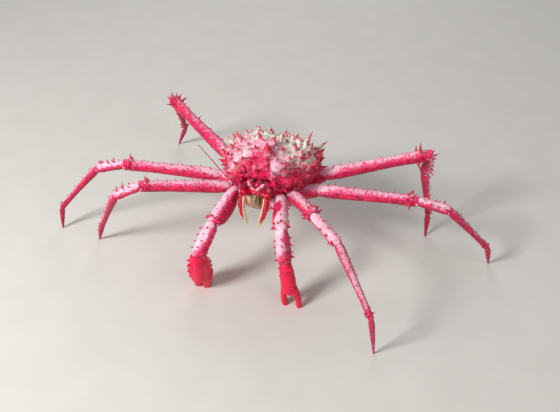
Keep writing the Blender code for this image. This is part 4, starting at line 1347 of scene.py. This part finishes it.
def build_face():
    """The wet, bumpy front between the brow and the mouth, with a pale rim under each eye painted as a highlight."""
    chance = random.Random(41)
    mound = rounded_body("face_mound", Vector((0, FACE_WALL, -1 * MM)), MOUND_HALF * MM)
    cut_flat(mound, Vector((0, FACE_WALL - GAP, 0)), -FORWARD)
    mound.data.transform(BODY)
    roughen(mound, 5 * MM, 2.4 * MM)
    roughen(mound, 2 * MM, 1.2 * MM)
    finish_piece(mound, [], face_finish())
    bumps, thorns = Spines(), Spines()
    for _ in range(FACE_BUMPS):
        x, z = chance.uniform(-20, 20), chance.uniform(-12, 13)
        spread = (x / MOUND_HALF.x) ** 2 + (z / MOUND_HALF.z) ** 2
        # The eyes and the mound's edge stay free.
        if (abs(abs(x) - 5.7) < 4.8 and z > 5.5) or spread > 0.95:
            continue
        out = Vector((x / 22 + chance.uniform(-0.2, 0.2), -1, z / 22 + chance.uniform(-0.2, 0.2)))
        root = Vector((x, FACE_WALL / MM - MOUND_HALF.y * math.sqrt(1 - spread), z - 1)) * MM
        size = chance.uniform(*FACE_BUMP_SIZES)
        bumps.add(BODY @ root, BODY_TURN @ out, size * chance.uniform(0.7, 1.3), size, chance.uniform(-0.3, 1))
        if chance.random() < 0.5:
            tip = root + out.normalized() * size * 0.6
            thorns.add(BODY @ tip, BODY_TURN @ out, chance.uniform(1.5, 3.5) * MM, 0.8 * MM, 0.3)
    template = bump_template()
    piece = bumps.planted("face_bumps", template)
    bpy.data.objects.remove(template, do_unlink=True)
    grow(piece, thorns)
    finish_piece(piece, [], face_finish())
    for side in SIDES:
        inner, mid, outer = (mirrored(point, side) for point in RIM_POINTS)
        points = [BODY @ (p * MM) for p in bezier(inner, (inner + mid) / 2, mid + (mid - inner) * 0.3, outer, 16)]
        total = line_length(points)
        rings = [(total * share, size * 0.8 * MM, size * MM) for share, size in RIM_RINGS]
        rim = ringed_form(f"eye_{side}_rim", rings, 10)
        subdivide(rim, 1)
        lay_along(rim, points, FORWARD)
        roughen(rim, 1.5 * MM, looks().relief * 2)
        grains = Spines()
        for _ in range(RIM_GRAINS):
            out = Vector((chance.uniform(-1, 1), -1, chance.uniform(-1, 1))).normalized()
            grains.add(points[chance.randrange(1, 16)] + out * 1.5 * MM, out, chance.uniform(0.8, 1.8) * MM, 0.6 * MM)
        grow(rim, grains)
        finish_piece(rim, [], rim_highlight_finish())


def node_name(name, side):
    stem, _, rest = name.partition("_")
    return f"{stem}_{side}" + (f"_{rest}" if rest else "")


def build_eye(side):
    place = mirrored(EYE_PLACE, side)
    back = Vector((place.x, FACE_WALL + GAP, place.z - 1 * MM))
    points = [BODY @ back.lerp(place, i / 8) for i in range(9)]
    total = line_length(points)
    rings = [(total * share, EYESTALK_RADIUS * size) for share, size in EYESTALK_RINGS]
    stalk = ringed_form(f"eye_{side}_stalk", rings, 12)
    subdivide(stalk)
    lay_along(stalk, points, UP)
    spines = Spines()
    chance = random.Random(f"eye {side}")
    for turn in EYESTALK_SPINES:
        out = Vector((math.sin(math.radians(turn)), 0, math.cos(math.radians(turn))))
        base = points[6] + out * EYESTALK_RADIUS * 1.1
        spines.add(base, out + FORWARD * 0.5, chance.uniform(1.2, 2.2) * MM, 0.5 * MM, 0.4)
    grow(stalk, spines)
    cornea = ball(40, 24, EYE_RADIUS)
    rename(cornea, f"eye_{side}_cornea")
    places = coordinates(cornea)
    places[:, 1] *= 1.12
    places[:, 2] *= np.where(places[:, 1] > 0, 0.86, 1.0)
    set_coordinates(cornea, places)
    cornea.data.transform(BODY @ Matrix.Translation(place))
    finish_piece(stalk, [f"eye_{side}"], feeler_finish())
    finish_piece(cornea, [f"eye_{side}"], cornea_finish())


def build_feelers(side):
    for name, swellings in (("antennule", (0.3, 0.62)), ("antenna_peduncle", (0.35, 0.7))):
        piece, points = face_tube(name, side, swellings, 0, GAP / 2 if "peduncle" in name else 0)
        spines = Spines()
        if name == "antenna_peduncle":
            for place, way, length, radius, dorsal in PEDUNCLE_SPINES:
                spines.add(points[place], mirrored(way, side), length * MM, radius * MM, dorsal)
        else:
            spines.add(points[-1], points[-1] - points[-3], 7 * MM, 0.55 * MM, 0.3, 0.1)
            spines.add(points[-1], points[-1] - points[-3] + UP * MM, 5 * MM, 0.5 * MM, 0.3, -0.12)
        grow(piece, spines)
        finish_piece(piece, [node_name(name, side)], feeler_finish())
    build_flagellum(side)


def build_flagellum(side):
    """The long whip of the feeler, ringed all along."""
    points = [mirrored(point, side) * MM for point in FACE_TUBES["antenna_peduncle"][0]]
    end, out = points[3], (points[3] - points[2]).normalized()
    way = FLAGELLUM_WAYS[side].normalized()
    start = end - out * 2 * MM
    tip = start + way * FLAGELLUM_LENGTH
    line = bezier(start, start + out * FLAGELLUM_LENGTH / 4, tip - way * FLAGELLUM_LENGTH / 3, tip, 40)
    line = [BODY @ point for point in line]
    total = line_length(line)
    pairs = [(i / 2, size) for i, size in enumerate(FLAGELLUM_RADII)]
    rings = []
    for i in range(FLAGELLUM_RINGS + 1):
        share = i / FLAGELLUM_RINGS
        radius = smooth_value(pairs, share) * (1.12 if i % 2 else 0.9) * MM
        rings.append((2.1 * MM + (total - 2.1 * MM) * share, radius))
    whip = ringed_form(f"antenna_{side}_flagellum_form", rings, 8, pointed=True)
    lay_along(whip, line, FORWARD if side == "right" else Vector((1, 0, 0)))
    finish_piece(whip, [f"antenna_{side}_flagellum"], feeler_finish())


def build_mouthparts(side):
    for name, swellings in (("maxilliped_base", (0.35, 0.9)), ("maxilliped_palp", (0.02, 0.4, 0.72))):
        base = name == "maxilliped_base"
        piece, points = face_tube(name, side, swellings, 0 if base else GAP / 2, GAP / 2 if base else 0)
        roughen(piece, 3 * MM, looks().relief * 2)
        spines = Spines()
        chance = random.Random(f"{name} {side}")
        for _ in range(MOUTH_GRAINS):
            place = chance.randrange(2, 20)
            out = Vector((chance.uniform(-1, 1), -chance.uniform(0.2, 1), chance.uniform(-0.2, 1))).normalized()
            deep = (3.9 if place < 14 else 3.0) * MM
            spines.add(points[place] + out * deep, out, chance.uniform(0.5, 1.4) * MM, 0.5 * MM, out.z)
        grow(piece, spines)
        finish_piece(piece, [node_name(name, side)], mouth_finish())
        if not base:
            # A thin ivory ridge runs down the inner edge.
            inwards = mirrored((-1, 0, 0), side)
            offset = inwards * 3.8 + FORWARD * 2.2
            edge = [point + offset * (1 - i / 60) * MM for i, point in enumerate(points[:23])]
            total = line_length(edge)
            rings = [(total * i / 9, (0.8 + 0.7 * math.sin(i / 9 * 2.6)) * MM) for i in range(10)]
            ridge = ringed_form(f"maxilliped_{side}_ridge", rings, 8)
            lay_along(ridge, edge, UP)
            roughen(ridge, 1.6 * MM, looks().relief * 2)
            finish_piece(ridge, [], ridge_finish())


def build_bristles(side):
    """Fringes of stiff hairs that hang from the inner edge of a mouth limb."""
    chance = random.Random(f"bristles {side}")
    strands = Spines()
    patches = []
    inwards = mirrored((-1, 0, 0), side)
    for name, first, share in (("maxilliped_base", 10, 0.1), ("maxilliped_palp", 3, 0.9)):
        points = face_line(name, side)
        for _ in range(int(BRISTLES * share)):
            place = chance.randrange(first, 23)
            at = points[place] + inwards * chance.uniform(1, 3) * MM + FORWARD * chance.uniform(-1, 1.5) * MM
            way = inwards * chance.uniform(-0.05, 0.35) - UP + FORWARD * chance.uniform(-0.15, 0.15)
            length = chance.uniform(*BRISTLE_LENGTHS)
            strands.add(at, way, length, BRISTLE_RADIUS, 0.5, chance.uniform(-0.2, 0.2), chance.random())
            patches.append((0.03 + 0.94 * place / LINE_STEPS, 0.1 + 0.8 * chance.random()))
    # A brown brush fills the mouth between them.
    for _ in range(BRISTLES // 4):
        at = Vector((chance.uniform(0, 5), chance.uniform(-62, -53), chance.uniform(-20, -8)))
        at = BODY @ (mirrored(at, side) * MM)
        way = FORWARD * chance.uniform(0.1, 1) - UP + Vector((chance.uniform(-0.5, 0.5), 0, 0))
        strands.add(at, way, chance.uniform(5, 13) * MM, BRISTLE_RADIUS * 1.2, chance.uniform(-0.6, 0.6), 0.15)
        patches.append((0.5 + 0.4 * chance.random(), 0.03 + 0.05 * chance.random()))
    template = ringed_form("strand", ((0, 1), (0.4, 0.9), (0.8, 0.6), (1, 0.3)), 4, pointed=True)
    piece = strands.planted(f"maxilliped_{side}_bristles", template)
    count = len(template.data.vertices)
    bake = piece.data.uv_layers.new(name="OFBake")
    flat = coordinates(template)[:, :2] * 0.0013
    corners = np.empty(len(piece.data.loops), dtype=np.int32)
    piece.data.loops.foreach_get("vertex_index", corners)
    spots = np.array(patches)[corners // count] + flat[corners % count]
    bake.data.foreach_set("uv", spots.astype(np.float32).ravel())
    bpy.data.objects.remove(template, do_unlink=True)
    finish_piece(piece, [], bristle_finish())


# Finishes


def node(tree, kind, links=None, **settings):
    """Adds a shader node; an input takes a plain value or another node's output."""
    made = tree.nodes.new("ShaderNode" + kind)
    for name, value in settings.items():
        setattr(made, name, value)
    for key, value in (links or {}).items():
        if isinstance(value, bpy.types.NodeSocket):
            tree.links.new(value, made.inputs[key])
        else:
            made.inputs[key].default_value = value
    return made


def new_material(name, specular=0.35, coat=0.0):
    """A new finish with the refraction of chitin: the material, its node tree and its shader."""
    material = bpy.data.materials.new(name)
    material.use_nodes = True
    shader = material.node_tree.nodes["Principled BSDF"]
    shader.inputs["IOR"].default_value = 1.5
    shader.inputs["Specular IOR Level"].default_value = specular
    shader.inputs["Coat Weight"].default_value = coat
    shader.inputs["Coat Roughness"].default_value = 0.2
    return material, material.node_tree, shader


def opaque(colour):
    return (*colour, 1)


def shell_finish(
    name, base, deep, pale_from, dusting, crusting=0.0, spine_hex="#C50F3C", gloss=0.4, pink_below=0.4
):
    """Crab shell, hard chitin and chalk: satin crimson under a broken pale dusting, with painted shade on what looks
    down.

    pale_from gives where the dust begins and is full, as the cosine from the upper side.
    """
    if name in bpy.data.materials:
        return bpy.data.materials[name]
    look = looks()
    material, tree, shader = new_material(name)
    place = node(tree, "TexCoord").outputs["Object"]
    tip, dorsal, dusty, pale = (
        node(tree, "Attribute", attribute_name=mark_name).outputs["Fac"]
        for mark_name in ("tip", "dorsal", "dusty", "pale")
    )
    # Blotches of the pigment are about 7 mm across, the broken edge of the dust 3 mm, and its
    # grains 1.2 mm, coarser than real ones so that they show.
    blotch, broken, grain = (
        node(tree, "TexNoise", {"Vector": place, "Scale": 1 / size, "Detail": detail}).outputs["Fac"]
        for size, detail in ((0.007, 3), (0.003, 2), (0.0012, 1))
    )
    shade = node(tree, "MapRange", {"Value": blotch, "From Min": 0.35, "From Max": 0.65}).outputs[0]
    shell = node(tree, "Mix", {0: shade, 6: opaque(base), 7: opaque(deep)}, data_type="RGBA").outputs[2]
    # Painted shade: what looks down is painted in the deeper crimson.
    low = node(tree, "MapRange", {"Value": dorsal, "From Min": 0.1, "From Max": -0.9, "To Max": 0.75}).outputs[0]
    shell = node(tree, "Mix", {0: low, 6: shell, 7: opaque(deep)}, data_type="RGBA").outputs[2]
    # The dust lies on what looks upwards, with a ragged lower edge.
    ragged = node(tree, "Math", {0: broken, 1: 1.0, 2: dorsal}, operation="MULTIPLY_ADD").outputs[0]
    ragged = node(tree, "Math", {0: blotch, 1: 1.0, 2: ragged}, operation="MULTIPLY_ADD").outputs[0]
    ragged = node(tree, "Math", {0: ragged, 1: dusty}, operation="ADD").outputs[0]
    begin, full = pale_from
    cover = node(
        tree, "MapRange",
        {"Value": ragged, "From Min": begin + 1, "From Max": full + 1, "To Max": dusting * look.dust},
        interpolation_type="SMOOTHSTEP",
    ).outputs[0]
    # Thin dust tints the shell pink well below the thick white of it.
    thin = node(
        tree, "MapRange",
        {"Value": ragged, "From Min": begin + 1 - pink_below, "From Max": full + 1, "To Max": 0.75 * dusting},
    ).outputs[0]
    shell = node(tree, "Mix", {0: thin, 6: shell, 7: opaque(linear("#EE6E9E"))}, data_type="RGBA").outputs[2]
    holes = node(tree, "MapRange", {"Value": grain, "From Min": 0.36, "From Max": 0.56, "To Min": 0.48}).outputs[0]
    dust = node(tree, "Math", {0: cover, 1: holes}, operation="MULTIPLY").outputs[0]
    # Stray specks of it lie all over.
    specks = node(
        tree, "MapRange", {"Value": grain, "From Min": 0.68, "From Max": 0.74, "To Max": 0.4 * dusting}
    ).outputs[0]
    dust = node(tree, "Math", {0: dust, 1: specks}, operation="MAXIMUM").outputs[0]
    chalk = node(
        tree, "Mix", {0: shade, 6: opaque(look.dust_colour), 7: opaque(linear("#E8C2D2"))}, data_type="RGBA"
    ).outputs[2]
    colour = node(tree, "Mix", {0: dust, 6: shell, 7: chalk}, data_type="RGBA").outputs[2]
    if crusting:
        # Patches of crust about 14 mm across, their edges broken by the finer noises.
        patch = node(tree, "TexNoise", {"Vector": place, "Scale": 1 / 0.014, "Detail": 2}).outputs["Fac"]
        patch = node(tree, "Math", {0: broken, 1: 0.75, 2: patch}, operation="MULTIPLY_ADD").outputs[0]
        patch = node(tree, "Math", {0: grain, 1: 0.35, 2: patch}, operation="MULTIPLY_ADD").outputs[0]
        crust = node(
            tree, "MapRange", {"Value": patch, "From Min": 0.96, "From Max": 1.06, "To Max": crusting * look.crust}
        ).outputs[0]
        crusty = node(tree, "Attribute", attribute_name="crusty").outputs["Fac"]
        crust = node(tree, "Math", {0: crust, 1: crusty}, operation="MULTIPLY").outputs[0]
        upward = node(tree, "MapRange", {"Value": dorsal, "From Min": 0.2, "From Max": 0.5}).outputs[0]
        crust = node(tree, "Math", {0: crust, 1: upward}, operation="MULTIPLY").outputs[0]
        colour = node(tree, "Mix", {0: crust, 6: colour, 7: opaque(look.crust_colour)}, data_type="RGBA").outputs[2]
        dust = node(tree, "Math", {0: dust, 1: crust}, operation="MAXIMUM").outputs[0]
        # Painted shade: the hollows between the cones are painted dark, in blotches of about 6.5 mm.
        hollow_shade = node(tree, "Attribute", attribute_name="hollow_shade").outputs["Fac"]
        hollow_shade_mask = node(tree, "TexNoise", {"Vector": place, "Scale": 1 / 0.0065, "Detail": 2}).outputs["Fac"]
        hollow_shade_mask = node(tree, "Math", {0: hollow_shade, 1: 0.12, 2: hollow_shade_mask}, operation="MULTIPLY_ADD").outputs[0]
        hollow_shade_mask = node(tree, "MapRange", {"Value": hollow_shade_mask, "From Min": 0.56, "From Max": 0.68, "To Max": 0.9}).outputs[0]
        colour = node(tree, "Mix", {0: hollow_shade_mask, 6: colour, 7: opaque(linear("#7A0A34"))}, data_type="RGBA").outputs[2]
    # Spines stay crimson from a little above their feet.
    bare = node(tree, "MapRange", {"Value": tip, "From Min": 0.04, "From Max": 0.35, "To Max": 0.88}).outputs[0]
    colour = node(tree, "Mix", {0: bare, 6: colour, 7: opaque(linear(spine_hex))}, data_type="RGBA").outputs[2]
    colour = node(tree, "Mix", {0: pale, 6: colour, 7: opaque(linear("#E9C8C8"))}, data_type="RGBA").outputs[2]
    tree.links.new(colour, shader.inputs["Base Color"])
    rough = node(tree, "MapRange", {"Value": dust, "To Min": gloss, "To Max": 0.85}).outputs[0]
    tree.links.new(rough, shader.inputs["Roughness"])
    pits = node(tree, "Math", {0: grain, 1: 0.4, 2: broken}, operation="MULTIPLY_ADD").outputs[0]
    bump = node(tree, "Bump", {"Height": pits, "Strength": 0.35, "Distance": 0.4 * MM}).outputs[0]
    tree.links.new(bump, shader.inputs["Normal"])
    return material


def carapace_finish():
    """Carapace shell, grown and crusted over: crimson with lilac dust and greenish crust, and painted shade on its
    lower faces and in its hollows.
    """
    return shell_finish(
        "Crusted carapace shell", linear("#E01450"), linear("#A20840"), (0.5, 1.1), 0.85, crusting=1.25
    )


def leg_finish():
    """Shell of the thick leg pieces: the upper half dusted nearly white over red."""
    look = looks()
    return shell_finish("Dusted leg shell", look.shell_colour, look.deep_and_shade_colour, (0.7, 1.12), 1.0, pink_below=0.36)


def lower_leg_finish():
    """Shell of the thin leg pieces: darker, with little dust."""
    return shell_finish(
        "Dark lower leg shell", linear("#D01C46"), looks().deep_and_shade_colour, (0.75, 1.25), 0.8, spine_hex="#B3123C"
    )


def claw_finish():
    """Shell of the claws: clean, smooth and saturated crimson."""
    return shell_finish("Polished claw shell", linear("#F6144C"), linear("#D60C3E"), (1.0, 1.7), 0.2, gloss=0.42)


def mottled_finish(name, base, deep, size, rough, relief, coat=0.0, specular=0.5):
    """A plainly mottled surface: two shades in blotches of the given size, with a fine relief."""
    if name in bpy.data.materials:
        return bpy.data.materials[name]
    material, tree, shader = new_material(name, specular, coat)
    place = node(tree, "TexCoord").outputs["Object"]
    blotch = node(tree, "TexNoise", {"Vector": place, "Scale": 1 / size, "Detail": 3}).outputs["Fac"]
    fine = node(tree, "TexNoise", {"Vector": place, "Scale": 4 / size, "Detail": 2}).outputs["Fac"]
    shade = node(tree, "MapRange", {"Value": blotch, "From Min": 0.35, "From Max": 0.65}).outputs[0]
    colour = node(tree, "Mix", {0: shade, 6: opaque(base), 7: opaque(deep)}, data_type="RGBA").outputs[2]
    tree.links.new(colour, shader.inputs["Base Color"])
    worn = node(tree, "MapRange", {"Value": fine, "To Min": rough - 0.08, "To Max": rough + 0.12}).outputs[0]
    tree.links.new(worn, shader.inputs["Roughness"])
    bump = node(tree, "Bump", {"Height": fine, "Strength": 0.3, "Distance": relief}).outputs[0]
    tree.links.new(bump, shader.inputs["Normal"])
    return material


def underside_finish():
    """Belly shell, thin and leathery: pale red with paler plates."""
    return mottled_finish("Leathery belly shell", looks().under_colour, linear("#E3B5A4"), 0.006, 0.5, 0.4 * MM)


def mouth_finish():
    """Shell of the mouth limbs: wet bright red with pale rims."""
    return mottled_finish("Wet mouth shell", linear("#DC0C38"), linear("#A80A30"), 0.003, 0.34, 0.5 * MM, coat=0.15)


def bristle_finish():
    """Chitin bristles: ivory on the mouth limbs, browner and stained in the mouth."""
    material, tree, shader = new_material("Ivory chitin bristle")
    stain = node(tree, "Attribute", attribute_name="tip").outputs["Fac"]
    fair = node(tree, "MapRange", {"Value": stain, "To Max": 0.35}).outputs[0]
    dorsal = node(tree, "Attribute", attribute_name="dorsal").outputs["Fac"]
    dark = node(tree, "MapRange", {"Value": dorsal, "From Min": 0.4, "From Max": -0.3}).outputs[0]
    colour = node(
        tree, "Mix", {0: fair, 6: opaque(looks().bristle_colour), 7: opaque(linear("#FFFAE2"))}, data_type="RGBA"
    ).outputs[2]
    colour = node(tree, "Mix", {0: dark, 6: colour, 7: opaque(linear("#7E6230"))}, data_type="RGBA").outputs[2]
    tree.links.new(colour, shader.inputs["Base Color"])
    shader.inputs["Roughness"].default_value = 0.5
    return material


def cornea_finish():
    """Cornea of the eye: wet and very dark, with a deep red sheen."""
    return mottled_finish("Wet dark cornea", linear("#45081F"), linear("#8A1448"), 0.002, 0.14, 0.02 * MM, coat=0.6)


def feeler_finish():
    """Shell of the feelers: dark red and satin."""
    return mottled_finish("Satin feeler shell", linear("#A31233"), linear("#C0455E"), 0.0025, 0.42, 0.2 * MM)


def ridge_finish():
    """Bare chitin edge of a mouth limb: ivory, stained yellow."""
    return mottled_finish("Ivory edge", linear("#EFE2B4"), linear("#C9AE72"), 0.003, 0.35, 0.2 * MM)


def face_finish():
    """Wet skin and shell of the face: saturated crimson with pink glints."""
    return mottled_finish("Wet face shell", linear("#F0245C"), linear("#C20E44"), 0.003, 0.22, 0.3 * MM, coat=0.6)


def rim_highlight_finish():
    """Rim under each eye: a painted highlight in pinkish white, and glossy."""
    return mottled_finish("Bare pale rim", linear("#F4D4DC"), linear("#E65C8A"), 0.0035, 0.25, 0.2 * MM, coat=0.4)


def floor_finish():
    """Studio floor, sprayed matt: even and pale, with a fine grain."""
    colour = looks().floor_colour
    return mottled_finish("Matt studio floor", colour, [c * 0.97 for c in colour], 0.05, 0.8, 0.1 * MM, specular=0.2)


# Operators


class KINGCRAB_OT_carapace(bpy.types.Operator):
    """Model the domed carapace with its swellings, grooves and spines"""

    bl_idname = "kingcrab.carapace"
    bl_label = "Carapace"

    def execute(self, context):
        build_carapace()
        return {"FINISHED"}


class KINGCRAB_OT_underside(bpy.types.Operator):
    """Model the thorax and the folded abdomen"""

    bl_idname = "kingcrab.underside"
    bl_label = "Thorax and Abdomen"

    def execute(self, context):
        build_thorax()
        build_abdomen()
        return {"FINISHED"}


class KINGCRAB_OT_walking_legs(bpy.types.Operator):
    """Model the three pairs of walking legs, piece by piece"""

    bl_idname = "kingcrab.walking_legs"
    bl_label = "Walking Legs"

    def execute(self, context):
        for side in SIDES:
            for number in (2, 3, 4):
                build_walking_leg(number, side)
        return {"FINISHED"}


class KINGCRAB_OT_claws(bpy.types.Operator):
    """Model both claw limbs with their palms and fingers"""

    bl_idname = "kingcrab.claws"
    bl_label = "Claws"

    def execute(self, context):
        for side in SIDES:
            build_claw_limb(side)
        return {"FINISHED"}


class KINGCRAB_OT_face(bpy.types.Operator):
    """Model the bumpy front of the face under the brow"""

    bl_idname = "kingcrab.face"
    bl_label = "Face"

    def execute(self, context):
        build_face()
        return {"FINISHED"}


class KINGCRAB_OT_eyes(bpy.types.Operator):
    """Model the stalked eyes"""

    bl_idname = "kingcrab.eyes"
    bl_label = "Eyes"

    def execute(self, context):
        for side in SIDES:
            build_eye(side)
        return {"FINISHED"}


class KINGCRAB_OT_feelers(bpy.types.Operator):
    """Model the small and the long feelers"""

    bl_idname = "kingcrab.feelers"
    bl_label = "Feelers"

    def execute(self, context):
        for side in SIDES:
            build_feelers(side)
        return {"FINISHED"}


class KINGCRAB_OT_mouthparts(bpy.types.Operator):
    """Model the mouth limbs"""

    bl_idname = "kingcrab.mouthparts"
    bl_label = "Mouth Limbs"

    def execute(self, context):
        for side in SIDES:
            build_mouthparts(side)
        return {"FINISHED"}


class KINGCRAB_OT_bristles(bpy.types.Operator):
    """Model the ivory bristles of the mouth limbs"""

    bl_idname = "kingcrab.bristles"
    bl_label = "Bristles"

    def execute(self, context):
        for side in SIDES:
            build_bristles(side)
        return {"FINISHED"}


class KINGCRAB_OT_stage(bpy.types.Operator):
    """Set up the studio floor, the lights and the camera"""

    bl_idname = "kingcrab.stage"
    bl_label = "Studio"

    def execute(self, context):
        build_floor()
        build_lights()
        build_camera()
        return {"FINISHED"}


def build_floor():
    deselect_all()
    bpy.ops.mesh.primitive_plane_add(size=FLOOR_SIDE)
    floor = bpy.context.object
    rename(floor, "studio_floor")
    floor.data.materials.append(floor_finish())


def add_light(name, place, size, power):
    bpy.ops.object.light_add(type="AREA", radius=size, location=place)
    light = bpy.context.object
    light.name = name
    light.data.energy = power
    light.data.size = size
    light.rotation_euler = (LIGHT_AIM - Vector(place)).to_track_quat("-Z", "Y").to_euler()


def build_lights():
    for name, place, size, share in STUDIO_LIGHTS:
        add_light(name, place, size, looks().key_light * share)
    world = bpy.context.scene.world or bpy.data.worlds.new("studio")
    bpy.context.scene.world = world
    world.use_nodes = True
    backdrop = world.node_tree.nodes["Background"]
    backdrop.inputs["Color"].default_value = opaque(linear("#F2F2F4"))
    backdrop.inputs["Strength"].default_value = WORLD_STRENGTH
    # Colours show as they are, without the film-like curve that pales a saturated red.
    bpy.context.scene.view_settings.view_transform = "Standard"


def build_camera():
    bpy.ops.object.camera_add(
        location=CAMERA_PLACE, rotation=(math.pi / 2 - CAMERA_ELEVATION, 0, CAMERA_AZIMUTH)
    )
    camera = bpy.context.object
    camera.name = "photo_camera"
    camera.data.sensor_width = 36
    camera.data.lens = CAMERA_LENS
    camera.data.clip_start = 0.01
    bpy.context.scene.camera = camera


class KINGCRAB_PT_panel(bpy.types.Panel):
    """Sizes, colours and steps of the king crab model"""

    bl_idname = "KINGCRAB_PT_panel"
    bl_label = "King Crab"
    bl_space_type = "VIEW_3D"
    bl_region_type = "UI"
    bl_category = "King Crab"

    def draw(self, context):
        column = self.layout.column()
        for name in KingCrabLooks.__annotations__:
            column.prop(context.scene.king_crab_looks, name)
        for step in STEPS:
            column.operator(step.bl_idname)


STEPS = (
    KINGCRAB_OT_carapace,
    KINGCRAB_OT_underside,
    KINGCRAB_OT_walking_legs,
    KINGCRAB_OT_claws,
    KINGCRAB_OT_face,
    KINGCRAB_OT_eyes,
    KINGCRAB_OT_feelers,
    KINGCRAB_OT_mouthparts,
    KINGCRAB_OT_bristles,
    KINGCRAB_OT_stage,
)
CLASSES = (KingCrabLooks, *STEPS, KINGCRAB_PT_panel)


def register():
    for listed in CLASSES:
        bpy.utils.register_class(listed)
    bpy.types.Scene.king_crab_looks = bpy.props.PointerProperty(type=KingCrabLooks)


def unregister():
    del bpy.types.Scene.king_crab_looks
    for listed in reversed(CLASSES):
        bpy.utils.unregister_class(listed)


def main():
    register()
    bpy.ops.kingcrab.carapace()
    bpy.ops.kingcrab.underside()
    bpy.ops.kingcrab.walking_legs()
    bpy.ops.kingcrab.claws()
    bpy.ops.kingcrab.face()
    bpy.ops.kingcrab.eyes()
    bpy.ops.kingcrab.feelers()
    bpy.ops.kingcrab.mouthparts()
    bpy.ops.kingcrab.bristles()
    bpy.ops.kingcrab.stage()


if __name__ == "__main__":
    main()
